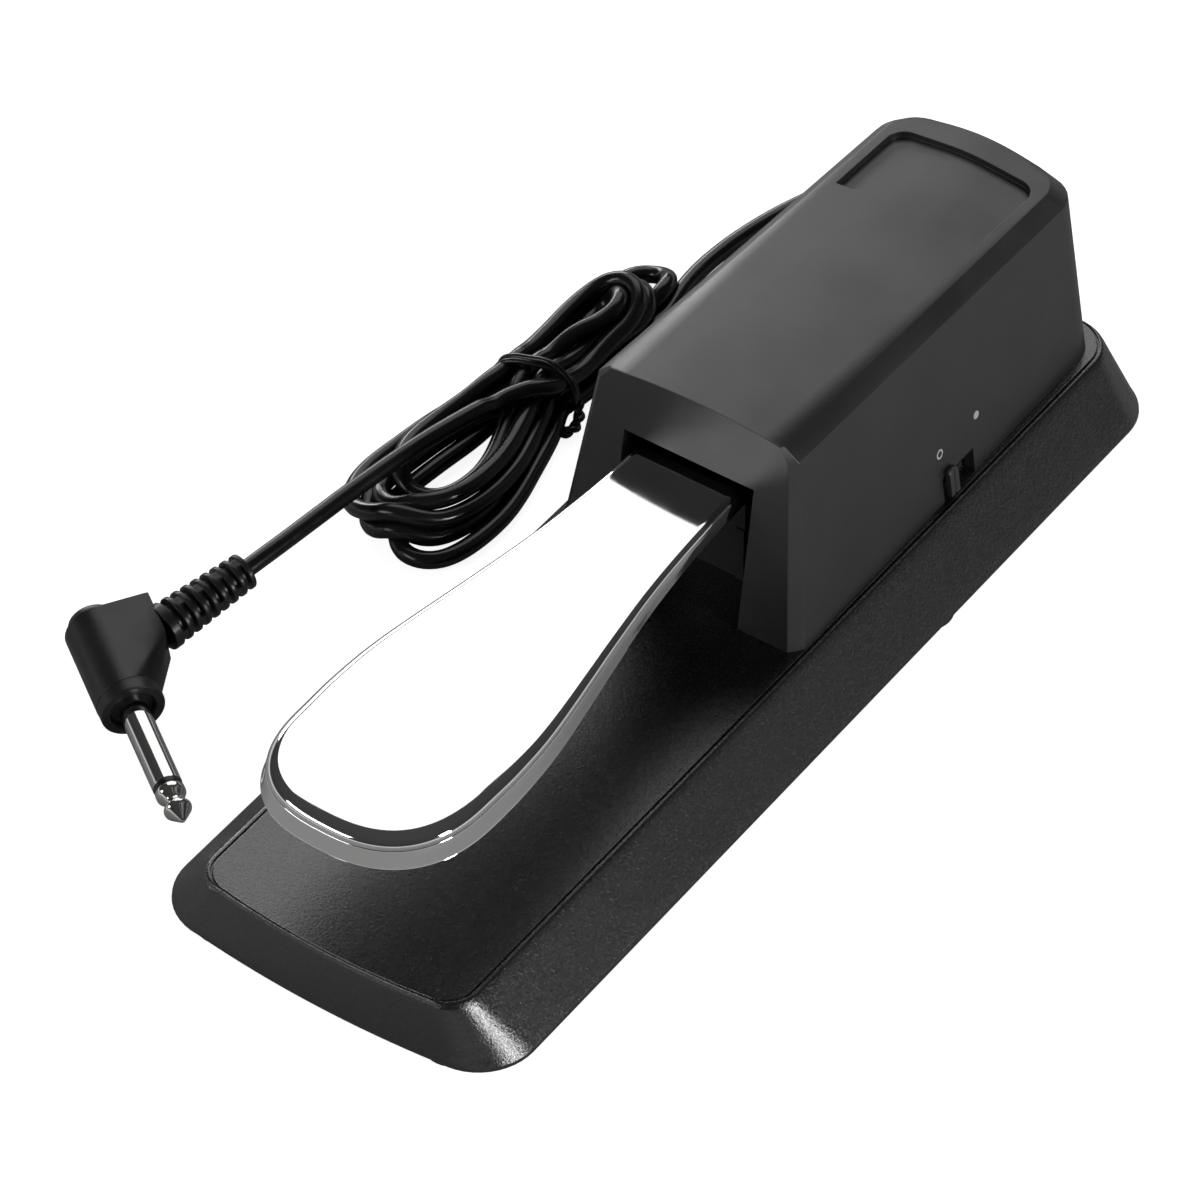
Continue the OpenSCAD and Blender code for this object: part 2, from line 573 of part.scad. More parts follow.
module switch_actuator() color([0.9, 0.88, 0.8]) treadle_frame() {
    translate([-3.5, contact_y - 4, plunger_top + 0.6])
        cube([7, 8, plate_rest_z - sheet_t - plunger_top - 0.6]);
    translate([-8, contact_y - 4.6, plate_rest_z - sheet_t - 2.4]) cube([16, 9.2, 2.4]);
    translate([0, contact_y, plate_rest_z - sheet_t - 1]) cylinder(r = 1.5, h = sheet_t + 1.6);
}

// ---- Lead, hank and plug ----

module cord_relief() color([0.12, 0.12, 0.12]) {
    translate([0, 0, exit_z]) rotate([-90, 0, 0]) difference() {
        rotate_extrude() polygon([[0, 117.6], [3.6, 117.6], [3.6, 119], [3.2, 119], [3.2, half_len + 0.1],
            [4.6, half_len + 0.1], [4.6, 125], [3.1, relief_end - 0.6], [2.7, relief_end], [0, relief_end]]);
        for (k = [0:3]) for (s = [0, 180]) rotate([0, 0, s + 90 * (k % 2)])
            translate([1.9, -6, 126.4 + 2.8 * k]) cube([6, 12, 1.3]);
        translate([0, 0, relief_end - 1]) cylinder(r = cord_r, h = 3);
    }
}

module cord_lead() color([0.07, 0.07, 0.07]) tube(lead_route, cord_r, lead_rings, 8, [0, 0, 1]);

module cord_tail() color([0.07, 0.07, 0.07]) tube(tail_route, cord_r, tail_rings, 8, [0, 0, 1]);

// Half-width of the hank's outline at y
function hank_half(y) =
    let (f = (y - 14) / (y < 14 ? 14 - hank_front_y : 37), r = (y - 68) / (y < 68 ? 31 : hank_rear_y - 68))
    max(hank_front_half * sqrt(max(1 - f * f, 0)), hank_rear_half * sqrt(max(1 - r * r, 0)));

module cord_hank() color([0.09, 0.09, 0.09]) {
    ys = concat([for (a = [90:-12:-66]) 14 - 30 * sin(a)], [44, 50, 55, 61],
        [for (a = [0:12:84]) 68 + (hank_rear_y - 68) * sin(a)], [hank_rear_y]);
    right = [for (y = ys) [hank_half(y), y]];
    n = len(right);
    difference() {
        translate([hank_x, 0, 0]) linear_extrude(height = hank_h)
            polygon(concat(right, [for (i = [n - 1:-1:0]) [-right[i][0], right[i][1]]]));
        tie_ring(hank_waist + 20, 0);
    }
}

module tie_ring(half, gap) {
    translate([hank_x, hank_waist_y, 0]) difference() {
        translate([-half, -2 - gap, -1]) cube([2 * half, 4 + 2 * gap, hank_h + 3]);
        translate([-hank_waist, -4, 0.8]) cube([2 * hank_waist, 8, hank_h - 1.6]);
    }
}

module cord_tie() color([0.1, 0.1, 0.1]) {
    translate([hank_x, hank_waist_y, 0]) difference() {
        translate([-hank_waist - 0.8, -1.8, 0]) cube([2 * hank_waist + 1.6, 3.6, hank_h]);
        translate([-hank_waist, -4, 0.8]) cube([2 * hank_waist, 8, hank_h - 1.6]);
    }
}

module plug_frame()
    translate(plug_at) rotate([plug_roll, plug_tilt, plug_heading]) children();

module plug_boot() color([0.1, 0.1, 0.1]) plug_frame() difference() {
    union() {
        hull() {
            translate([-24, 0, 0]) rotate([0, 90, 0]) cylinder(r = 7, h = 21, $fn = 32);
            translate([-25, 9, -4.8]) cube([11, boot_face - 9, 9.6]);
        }
        translate([-5, 0, 0]) rotate([0, 90, 0]) cylinder(r = 6.9, h = 5);
        translate([-27, -0.5, 0]) rotate([0, 90, 0]) cylinder(r = 5.4, h = 5);
    }
    translate([-6, 0, 0]) rotate([0, 90, 0]) cylinder(r = jack_root_r + fit / 2, h = 10);
    translate([-1.8, 0, 0]) rotate([0, 90, 0]) cylinder(r = 4.8, h = 5);
}

module plug_relief() color([0.1, 0.1, 0.1]) plug_frame() intersection() {
    translate([-18.3, boot_face, 0]) rotate([0, 0, relief_skew]) rotate([-90, 0, 0]) difference() {
        rotate_extrude() polygon(concat([[0, -4], [5, -4], [5, 2.4]],
            [for (k = [0:7]) for (q = [[3.9, 2.4], [3.9, 3.6], [5 - k * 0.13, 3.6], [5 - k * 0.13, 4.9]])
                [q[0] - k * 0.1, q[1] + 2.5 * k]],
            [[0, 22.4]]));
        translate([0, 0, 21.4]) cylinder(r = cord_r, h = 4);
    }
    translate([-60, boot_face, -20]) cube([80, 60, 40]);
}

module plug_sleeve() color([0.85, 0.85, 0.87]) plug_frame() rotate([0, 90, 0]) rotate_extrude()
    polygon([[0, -6], [jack_root_r, -6], [jack_root_r, jack_start], [jack_r, jack_start],
        [jack_r, sleeve_len], [1.4, sleeve_len], [1.4, sleeve_len - 4], [0, sleeve_len - 4]]);

module plug_insulator() color([0.05, 0.05, 0.05]) plug_frame() rotate([0, 90, 0]) rotate_extrude()
    polygon([[0, sleeve_len - 4], [1.4, sleeve_len - 4], [1.4, sleeve_len], [jack_r - 0.08, sleeve_len],
        [jack_r - 0.08, sleeve_len + 1.2], [0, sleeve_len + 1.2]]);

module plug_tip() color([0.85, 0.85, 0.87]) plug_frame() rotate([0, 90, 0]) rotate_extrude()
    polygon([[0, sleeve_len + 1.2], [jack_r, sleeve_len + 1.2], [jack_r, sleeve_len + 2.6],
        [1.95, sleeve_len + 4.2], [1.95, sleeve_len + 4.8], [2.9, sleeve_len + 6.2], [2.9, sleeve_len + 6.8],
        [1.2, jack_len - 0.6], [0.6, jack_len], [0, jack_len]]);

base_shell();
bottom_plate();
bottom_screws();
ballast_bar();
rubber_feet();
housing_cover();
cover_screws();
axle_bracket();
bracket_screws();
axle_pin();
axle_clip();
return_spring();
spring_seat();
stop_post();
lower_stop_pad();
upper_stop_pad();
board_standoffs();
circuit_board();
board_screws();
contact_block();
board_parts();
polarity_switch();
polarity_knob();
contact_plunger();
inner_wires();
cable_clamp();
cord_relief();
cord_lead();
cord_hank();
cord_tie();
cord_tail();
plug_boot();
plug_relief();
plug_sleeve();
plug_insulator();
plug_tip();
treadle_plate();
treadle_lugs();
pivot_bushes();
treadle_rivets();
spring_cup();
switch_actuator();
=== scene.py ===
import json
import math

import bmesh
import bpy
import numpy as np
from mathutils import Matrix, Vector


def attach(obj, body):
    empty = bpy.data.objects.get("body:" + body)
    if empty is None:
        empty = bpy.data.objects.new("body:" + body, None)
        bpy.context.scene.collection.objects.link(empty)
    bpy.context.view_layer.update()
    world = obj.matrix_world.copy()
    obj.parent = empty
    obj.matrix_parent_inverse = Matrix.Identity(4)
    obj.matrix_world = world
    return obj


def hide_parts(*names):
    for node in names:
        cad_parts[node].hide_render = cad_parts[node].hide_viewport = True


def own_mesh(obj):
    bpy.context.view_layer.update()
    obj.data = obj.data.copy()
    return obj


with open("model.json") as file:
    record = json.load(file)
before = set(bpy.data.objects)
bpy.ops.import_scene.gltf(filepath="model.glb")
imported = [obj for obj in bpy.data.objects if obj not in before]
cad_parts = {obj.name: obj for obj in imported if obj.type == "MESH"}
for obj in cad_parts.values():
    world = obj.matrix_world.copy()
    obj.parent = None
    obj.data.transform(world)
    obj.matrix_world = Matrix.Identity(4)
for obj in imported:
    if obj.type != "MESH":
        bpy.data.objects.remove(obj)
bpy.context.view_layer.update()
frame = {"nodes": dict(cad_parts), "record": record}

# Lengths in this script are millimetres until MM turns them into the frame's metres.
MM = 0.001


def mm(*v):
    return tuple(c * MM for c in v)


# ---- Camera, lights and floor ----

CAMERA_AZIMUTH = math.radians(35.0)
CAMERA_ELEVATION = math.radians(44.3)
CAMERA_DISTANCE = 1280.0
CAMERA_LENS = 185.0
SENSOR_WIDTH = 36.0
# Small shift, in shares of the frame's width, that sets the part where the photograph has it
CAMERA_SHIFT = (-0.06042, 0.04367)
# Brightness of the studio round the part, by the sine of the height above the horizon
SKY = [(0.0, (1.0, 1.0, 1.0, 1)), (0.22, (0.04, 0.04, 0.041, 1)), (0.95, (0.06, 0.06, 0.062, 1))]
SKY_STRENGTH = 0.9
FLOOR_HALF = 4.0
# The floor shows almost white, but lights the part as a greyer one would.
FLOOR_GLOW = 0.9
FLOOR_BOUNCE = 0.58


def make_camera():
    data = bpy.data.cameras.new("camera")
    data.sensor_width = SENSOR_WIDTH
    data.lens = CAMERA_LENS
    data.shift_x, data.shift_y = CAMERA_SHIFT
    data.clip_start = 0.05
    camera = bpy.data.objects.new("camera", data)
    bpy.context.scene.collection.objects.link(camera)
    flat = math.cos(CAMERA_ELEVATION)
    back = Vector((math.sin(CAMERA_AZIMUTH) * flat, -math.cos(CAMERA_AZIMUTH) * flat,
                   math.sin(CAMERA_ELEVATION)))
    camera.location = back * CAMERA_DISTANCE * MM
    camera.rotation_mode = "QUATERNION"
    camera.rotation_quaternion = (-back).to_track_quat("-Z", "Y")
    bpy.context.scene.camera = camera


def area_light(name, at, towards, size, power):
    data = bpy.data.lights.new(name, "AREA")
    data.shape = "RECTANGLE"
    data.size, data.size_y = size
    data.energy = power
    light = bpy.data.objects.new(name, data)
    light.location = at
    light.rotation_mode = "QUATERNION"
    light.rotation_quaternion = (Vector(towards) - Vector(at)).to_track_quat("-Z", "Y")
    bpy.context.scene.collection.objects.link(light)


def make_world():
    """Dim studio with a pale band along the horizon for metal to show; the camera itself sees white."""
    world = bpy.data.worlds.new("studio")
    bpy.context.scene.world = world
    world.use_nodes = True
    tree = world.node_tree
    tree.nodes.clear()
    out = tree.nodes.new("ShaderNodeOutputWorld")
    light = tree.nodes.new("ShaderNodeBackground")
    seen = tree.nodes.new("ShaderNodeBackground")
    mix = tree.nodes.new("ShaderNodeMixShader")
    path = tree.nodes.new("ShaderNodeLightPath")
    coords = tree.nodes.new("ShaderNodeTexCoord")
    split = tree.nodes.new("ShaderNodeSeparateXYZ")
    ramp = tree.nodes.new("ShaderNodeValToRGB")
    tree.links.new(coords.outputs["Generated"], split.inputs[0])
    tree.links.new(split.outputs["Z"], ramp.inputs["Fac"])
    stops = ramp.color_ramp.elements
    stops[0].position, stops[0].color = SKY[0]
    stops[1].position, stops[1].color = SKY[2]
    stops.new(SKY[1][0]).color = SKY[1][1]
    tree.links.new(ramp.outputs["Color"], light.inputs["Color"])
    light.inputs["Strength"].default_value = SKY_STRENGTH
    seen.inputs["Color"].default_value = (1, 1, 1, 1)
    seen.inputs["Strength"].default_value = 1.0
    tree.links.new(path.outputs["Is Camera Ray"], mix.inputs[0])
    tree.links.new(light.outputs[0], mix.inputs[1])
    tree.links.new(seen.outputs[0], mix.inputs[2])
    tree.links.new(mix.outputs[0], out.inputs["Surface"])


def make_floor():
    floor = bpy.data.objects.new("floor", bpy.data.meshes.new("floor"))
    half = FLOOR_HALF
    corners = [(-half, -half, 0), (half, -half, 0), (half, half, 0), (-half, half, 0)]
    floor.data.from_pydata(corners, [], [(0, 1, 2, 3)])
    bpy.context.scene.collection.objects.link(floor)
    material = bpy.data.materials.new("floor")
    material.use_nodes = True
    tree = material.node_tree
    shader = tree.nodes["Principled BSDF"]
    shader.inputs["Base Color"].default_value = (0.9, 0.9, 0.9, 1)
    shader.inputs["Roughness"].default_value = 0.8
    shader.inputs["Emission Color"].default_value = (1, 1, 1, 1)
    shader.inputs["Emission Strength"].default_value = FLOOR_GLOW
    bounce = tree.nodes.new("ShaderNodeBsdfDiffuse")
    bounce.inputs["Color"].default_value = (FLOOR_BOUNCE, FLOOR_BOUNCE, FLOOR_BOUNCE, 1)
    path = tree.nodes.new("ShaderNodeLightPath")
    mix = tree.nodes.new("ShaderNodeMixShader")
    tree.links.new(path.outputs["Is Camera Ray"], mix.inputs[0])
    tree.links.new(bounce.outputs[0], mix.inputs[1])
    tree.links.new(shader.outputs[0], mix.inputs[2])
    tree.links.new(mix.outputs[0], tree.nodes["Material Output"].inputs["Surface"])
    floor.data.materials.append(material)


def make_studio():
    bpy.context.scene.view_settings.view_transform = "Standard"
    make_camera()
    make_world()
    make_floor()
    area_light("overhead", (-0.82, 1.17, 1.4), (0, 0, 0), (1.7, 1.3), 9)
    area_light("right", (1.62, -0.03, 0.52), (0.02, -0.05, 0.01), (0.3, 0.5), 14)
    area_light("left_rear", (-1.56, 1.17, 0.42), (0, 0.05, 0.05), (1.0, 0.4), 8)
    area_light("front_left", (-0.9, -1.5, 0.8), (0, -0.05, 0), (1.3, 0.4), 7)


make_studio()


# ---- Mesh helpers ----


def add_object(name, data, material, body, slot, *replaced):
    """A piece that rides on that body in place of the CAD nodes named last; the slot argument is not used."""
    piece = bpy.data.objects.new(name, data)
    bpy.context.scene.collection.objects.link(piece)
    piece.data.materials.append(material)
    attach(piece, body)
    if replaced:
        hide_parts(*replaced)
    return piece


def mesh_of(points, faces):
    data = bpy.data.meshes.new("part")
    data.from_pydata([mm(*p) for p in points], [], faces)
    data.validate()
    data.update()
    return data


def smooth(data, degrees=35):
    """Smooth shading with edges kept sharp where the faces turn by more than that."""
    work = bmesh.new()
    work.from_mesh(data)
    bmesh.ops.recalc_face_normals(work, faces=work.faces)
    for face in work.faces:
        face.smooth = True
    for edge in work.edges:
        edge.smooth = len(edge.link_faces) == 2 and edge.calc_face_angle(0.0) < math.radians(degrees)
    work.to_mesh(data)
    work.free()
    return data


def loft(rings, low=True, high=True):
    """Points and faces of a skin over closed rings that have the same number of points."""
    n = len(rings[0])
    points = [p for ring in rings for p in ring]
    faces = [(k * n + i, k * n + (i + 1) % n, (k + 1) * n + (i + 1) % n, (k + 1) * n + i)
             for k in range(len(rings) - 1) for i in range(n)]
    if low:
        faces.append(tuple(range(n))[::-1])
    if high:
        faces.append(tuple((len(rings) - 1) * n + i for i in range(n)))
    return points, faces


def circle(radius, sides):
    """Points of a full circle round the origin, from +X on."""
    turns = np.linspace(0, 2 * math.pi, sides, endpoint=False)
    return [(radius * math.cos(a), radius * math.sin(a)) for a in turns]


def lathe(profile, sides=64):
    """Points and faces of a profile of (radius, height) turned about Z; a radius of 0 closes an end."""
    rings = [[(x, y, z) for x, y in circle(r, sides)] for r, z in profile]
    return loft(rings, profile[0][0] > 0, profile[-1][0] > 0)


def rounded(profile, radius, steps=4):
    """The profile with each inner corner turned into an arc of about that radius."""
    out = [profile[0]]
    for a, b, c in zip(profile, profile[1:], profile[2:]):
        a, b, c = (np.array(p, float) for p in (a, b, c))
        cut = min(radius, np.linalg.norm(a - b) * 0.45, np.linalg.norm(c - b) * 0.45)
        start = b + (a - b) / np.linalg.norm(a - b) * cut
        end = b + (c - b) / np.linalg.norm(c - b) * cut
        for s in np.linspace(0, 1, steps + 1):
            out.append(tuple((1 - s) ** 2 * start + 2 * s * (1 - s) * b + s * s * end))
    return out + [profile[-1]]


def placed(points, matrix):
    return [tuple(matrix @ Vector(p)) for p in points]


def hull_mesh(points, flat):
    """Convex hull with its level triangles joined into flat faces."""
    work = bmesh.new()
    for p in points:
        work.verts.new(mm(*p))
    made = bmesh.ops.convex_hull(work, input=work.verts)
    loose = [v for v in made["geom_interior"] + made["geom_unused"] if isinstance(v, bmesh.types.BMVert)]
    bmesh.ops.delete(work, geom=list(set(loose)), context="VERTS")
    bmesh.ops.dissolve_limit(work, angle_limit=math.radians(flat), verts=work.verts, edges=work.edges)
    bmesh.ops.recalc_face_normals(work, faces=work.faces)
    data = bpy.data.meshes.new("part")
    work.to_mesh(data)
    work.free()
    return data


def box_mesh(low, high, turn=None):
    points = [(x, y, z) for z in (low[2], high[2]) for x, y in
              ((low[0], low[1]), (high[0], low[1]), (high[0], high[1]), (low[0], high[1]))]
    if turn is not None:
        points = placed(points, turn)
    faces = [(3, 2, 1, 0), (4, 5, 6, 7), (0, 1, 5, 4), (1, 2, 6, 5), (2, 3, 7, 6), (3, 0, 4, 7)]
    return mesh_of(points, faces)


def carve(data, cutters, operation="DIFFERENCE"):
    """The mesh with each cutter's mesh taken away from it, or added to it."""
    base = bpy.data.objects.new("work", data)
    bpy.context.scene.collection.objects.link(base)
    tools = []
    for cutter in cutters:
        tool = bpy.data.objects.new("tool", cutter)
        bpy.context.scene.collection.objects.link(tool)
        tools.append(tool)
        step = base.modifiers.new("cut", "BOOLEAN")
        step.operation = operation
        step.solver = "EXACT"
        step.object = tool
    bpy.context.view_layer.update()
    made = bpy.data.meshes.new_from_object(base.evaluated_get(bpy.context.evaluated_depsgraph_get()))
    for o in [base, *tools]:
        bpy.data.objects.remove(o)
    return made


def softened(data, width, segments=3, degrees=30):
    """The mesh with each edge sharper than that angle rounded by a bevel, and shaded smooth."""
    work = bpy.data.objects.new("work", data)
    bpy.context.scene.collection.objects.link(work)
    edge = work.modifiers.new("edge", "BEVEL")
    edge.width = width * MM
    edge.segments = segments
    edge.limit_method = "ANGLE"
    edge.angle_limit = math.radians(degrees)
    edge.miter_outer = "MITER_ARC"
    edge.use_clamp_overlap = True
    bpy.context.view_layer.update()
    made = bpy.data.meshes.new_from_object(work.evaluated_get(bpy.context.evaluated_depsgraph_get()))
    bpy.data.objects.remove(work)
    return smooth(made, 40)


def level_normals(piece):
    """Keeps flat faces looking flat beside their rounded edges."""
    piece.modifiers.new("level", "WEIGHTED_NORMAL").keep_sharp = True
    return piece


def arc(cx, cy, r, a0, a1, n):
    """Points along an arc round (cx, cy) from one angle to the other, in n steps."""
    return [(cx + r * math.cos(math.radians(a0 + (a1 - a0) * i / n)),
             cy + r * math.sin(math.radians(a0 + (a1 - a0) * i / n))) for i in range(n + 1)]


def tube(path, radius, sides, side_way):
    """Round tube along points, with a frame carried along so that it doesn't twist."""
    path = np.array(path, float)
    ways = np.gradient(path, axis=0)
    ways /= np.linalg.norm(ways, axis=1)[:, None]
    across = np.array(side_way, float)
    rings = []
    for p, t in zip(path, ways):
        across = across - t * (across @ t)
        across /= np.linalg.norm(across)
        up = np.cross(t, across)
        rings.append([tuple(p + radius * (c * across + s * up)) for c, s in circle(1, sides)])
    return loft(rings)


# ---- Materials ----


class Finish:
    """A material's nodes: a shader, and the object's own coordinates in millimetres."""

    def __init__(self, name, color, roughness, metallic=0.0, **sockets):
        self.material = bpy.data.materials.new(name)
        self.material.use_nodes = True
        self.tree = self.material.node_tree
        self.shader = self.tree.nodes["Principled BSDF"]
        self.shader.inputs["Base Color"].default_value = (*color, 1)
        self.shader.inputs["Roughness"].default_value = roughness
        self.shader.inputs["Metallic"].default_value = metallic
        for socket, value in sockets.items():
            self.shader.inputs[socket.replace("_", " ").title().replace("Ior", "IOR")].default_value = value
        coords = self.tree.nodes.new("ShaderNodeTexCoord")
        scale = self.tree.nodes.new("ShaderNodeVectorMath")
        scale.operation = "SCALE"
        scale.inputs["Scale"].default_value = 1 / MM
        self.tree.links.new(coords.outputs["Object"], scale.inputs[0])
        self.place = scale.outputs[0]
        self.bumps = None

    def noise(self, pitch, detail=2.0, rough=0.5, stretch=None):
        """Noise with lumps of about that pitch in millimetres."""
        node = self.tree.nodes.new("ShaderNodeTexNoise")
        node.inputs["Scale"].default_value = 1 / pitch
        node.inputs["Detail"].default_value = detail
        node.inputs["Roughness"].default_value = rough
        self.tree.links.new(self.stretched(stretch), node.inputs["Vector"])
        return node.outputs["Fac"]

    def cells(self, pitch):
        node = self.tree.nodes.new("ShaderNodeTexVoronoi")
        node.inputs["Scale"].default_value = 1 / pitch
        self.tree.links.new(self.place, node.inputs["Vector"])
        return node.outputs["Distance"]

    def stretched(self, stretch):
        if stretch is None:
            return self.place
        node = self.tree.nodes.new("ShaderNodeVectorMath")
        node.operation = "MULTIPLY"
        node.inputs[1].default_value = stretch
        self.tree.links.new(self.place, node.inputs[0])
        return node.outputs[0]

    def ramp(self, value, low, high, from_value, to_value):
        node = self.tree.nodes.new("ShaderNodeMapRange")
        node.inputs["From Min"].default_value = low
        node.inputs["From Max"].default_value = high
        node.inputs["To Min"].default_value = from_value
        node.inputs["To Max"].default_value = to_value
        self.tree.links.new(value, node.inputs["Value"])
        return node.outputs["Result"]

    def vary_roughness(self, value, low, high, spread=(0.3, 0.7)):
        self.tree.links.new(self.ramp(value, *spread, low, high), self.shader.inputs["Roughness"])

    def vary_color(self, value, a, b, spread=(0.3, 0.7)):
        node = self.tree.nodes.new("ShaderNodeMix")
        node.data_type = "RGBA"
        node.inputs[6].default_value = (*a, 1)
        node.inputs[7].default_value = (*b, 1)
        self.tree.links.new(self.ramp(value, *spread, 0, 1), node.inputs[0])
        self.tree.links.new(node.outputs[2], self.shader.inputs["Base Color"])

    def bump(self, value, height, strength=1.0):
        """Adds a bump of that height in millimetres, on top of those already there."""
        node = self.tree.nodes.new("ShaderNodeBump")
        node.inputs["Distance"].default_value = height * MM
        node.inputs["Strength"].default_value = strength
        self.tree.links.new(value, node.inputs["Height"])
        if self.bumps is not None:
            self.tree.links.new(self.bumps, node.inputs["Normal"])
        self.bumps = node.outputs["Normal"]
        self.tree.links.new(self.bumps, self.shader.inputs["Normal"])


def moulded(name, dark, light, roughness, grain, height, coarse=9.0):
    """Moulded plastic or rubber: spark-eroded grain, with faint wear that changes the gloss."""
    f = Finish(name, dark, roughness)
    f.vary_color(f.noise(coarse, 3), dark, light)
    f.vary_roughness(f.noise(coarse * 0.7, 4), roughness - 0.05, roughness + 0.06)
    f.bump(f.noise(grain, 3, 0.6), height)
    return f.material


def metal(name, color, roughness, pitch=0.25, height=0.01, stretch=None):
    """Bare or zinc-plated metal, brushed along one way where its marks are stretched."""
    f = Finish(name, color, roughness, 1.0)
    f.vary_color(f.noise(6.0, 3), tuple(c * 0.88 for c in color), color)
    f.vary_roughness(f.noise(2.5, 4), roughness * 0.7, min(roughness * 1.4, 1))
    f.bump(f.noise(pitch, 2, 0.5, stretch), height)
    return f.material


def chrome(name, color, roughness):
    """Polished plate: almost a mirror, with a very slight waviness and fine wipe marks."""
    f = Finish(name, color, roughness, 1.0)
    f.vary_roughness(f.noise(14.0, 5, 0.6), roughness * 0.6, roughness * 2.2)
    f.bump(f.noise(22.0, 1), 0.02, 0.35)
    return f.material


def base_grain():
    """Spark-eroded grain of the base, which glints where it faces a light."""
    f = Finish("base_plastic", (0.006, 0.006, 0.007), 0.36, specular_ior_level=1.0, ior=1.6)
    f.vary_color(f.noise(12.0, 3), (0.005, 0.005, 0.006), (0.008, 0.008, 0.009))
    f.vary_roughness(f.noise(0.9, 4, 0.7), 0.2, 0.3)
    f.bump(f.noise(0.55, 3, 0.65), 0.1)
    return f.material


def cover_grain():
    """Finer and duller grain of the housing."""
    f = Finish("cover_plastic", (0.014, 0.014, 0.015), 0.4, specular_ior_level=1.0)
    f.vary_color(f.noise(15.0, 4), (0.011, 0.011, 0.012), (0.016, 0.016, 0.017))
    f.vary_roughness(f.noise(18.0, 4, 0.6), 0.38, 0.46)
    f.bump(f.noise(0.4, 2, 0.5), 0.018)
    return f.material


def circuit():
    """Green board with lacquered tracks."""
    f = Finish("board_green", (0.01, 0.13, 0.05), 0.35)
    f.vary_color(f.cells(2.4), (0.01, 0.11, 0.04), (0.02, 0.2, 0.08), (0.5, 0.56))
    f.bump(f.cells(2.4), 0.03)
    return f.material


def felt():
    f = Finish("felt_red", (0.28, 0.02, 0.025), 0.95)
    f.vary_color(f.noise(0.7, 4), (0.2, 0.012, 0.018), (0.36, 0.04, 0.04))
    f.bump(f.noise(0.3, 4, 0.7), 0.15)
    return f.material


def cord_skin():
    """Soft glossy sleeve of the lead, a little wavy over the wires inside."""
    f = Finish("cord_black", (0.010, 0.010, 0.011), 0.22)
    f.vary_roughness(f.noise(5.0, 3), 0.18, 0.28)
    f.bump(f.noise(2.2, 2), 0.03)
    f.bump(f.noise(0.25, 2), 0.006)
    return f.material


FINISHES = {
    "base_plastic": base_grain(),
    "cover_plastic": cover_grain(),
    "treadle_chrome": chrome("treadle_chrome", (0.86, 0.86, 0.85), 0.045),
    "zinc_steel": metal("zinc_steel", (0.62, 0.63, 0.65), 0.28),
    "sheet_steel": metal("sheet_steel", (0.5, 0.51, 0.53), 0.34, 0.5, 0.012, (1, 0.06, 1)),
    "spring_steel": metal("spring_steel", (0.55, 0.55, 0.57), 0.22),
    "ballast_iron": metal("ballast_iron", (0.1, 0.1, 0.11), 0.6, 0.9, 0.08),
    "rubber_black": moulded("rubber_black", (0.012, 0.012, 0.012), (0.02, 0.02, 0.02), 0.75, 0.35, 0.04),
    "stop_rubber": moulded("stop_rubber", (0.02, 0.02, 0.02), (0.032, 0.032, 0.032), 0.8, 0.5, 0.05),
    "felt_red": felt(),
    "nylon": moulded("nylon", (0.72, 0.69, 0.6), (0.78, 0.75, 0.66), 0.42, 0.8, 0.012),
    "brass_turned": metal("brass_turned", (0.78, 0.57, 0.24), 0.25, 0.3, 0.01, (1, 1, 8)),
    "board_green": circuit(),
    "part_black": moulded("part_black", (0.02, 0.02, 0.022), (0.03, 0.03, 0.032), 0.4, 0.3, 0.01),
    "plunger_red": moulded("plunger_red", (0.45, 0.03, 0.02), (0.52, 0.05, 0.03), 0.36, 0.5, 0.01),
    "switch_steel": metal("switch_steel", (0.6, 0.61, 0.62), 0.3),
    "knob_grey": moulded("knob_grey", (0.03, 0.03, 0.032), (0.045, 0.045, 0.048), 0.42, 0.3, 0.015),
    "wire_sheath": moulded("wire_sheath", (0.4, 0.02, 0.015), (0.5, 0.04, 0.03), 0.4, 0.5, 0.01),
    "cord_black": cord_skin(),
    "boot_black": moulded("boot_black", (0.012, 0.012, 0.013), (0.018, 0.018, 0.019), 0.36, 0.45, 0.018),
    "jack_nickel": chrome("jack_nickel", (0.78, 0.77, 0.75), 0.07),
    "jack_insulator": moulded("jack_insulator", (0.008, 0.008, 0.008), (0.014, 0.014, 0.014), 0.35, 0.3,
                              0.008),
}
MARK_WHITE = moulded("mark_paint", (0.42, 0.42, 0.42), (0.55, 0.55, 0.55), 0.6, 0.3, 0.01)


def dress_cad_nodes():
    """Each CAD node that stays in sight takes the finish of its slot in the record."""
    for part in frame["record"]["subparts"]:
        node = frame["nodes"].get(part["node"])
        if node is None:
            continue
        for slot in node.material_slots:
            slot.material = FINISHES[part["material_slot"]]


# ---- Lead: route, hank and tail ----

CORD_D = 4.0
CORD_R = CORD_D / 2
EXIT = (0, 139, 9)
# The lead's way from the strain relief round the housing's rear corner, as in the CAD, and on to the tie
LEAD_ROUTE = [EXIT, (0, 143, 8.2), (-2, 150, 6.2), (-8, 158, 4.2), (-18, 163, 2.8), (-30, 163, 2.2),
              (-41, 158, 2.1), (-50, 149, 2.1), (-56, 137, 2.1), (-60, 125, 2.1), (-62.4, 113, 2.1),
              (-63.6, 101, 2.2), (-63.4, 90, 2.1), (-62.6, 78, 2.1), (-62, 66, 2.2), (-61.6, 56, 2.7)]
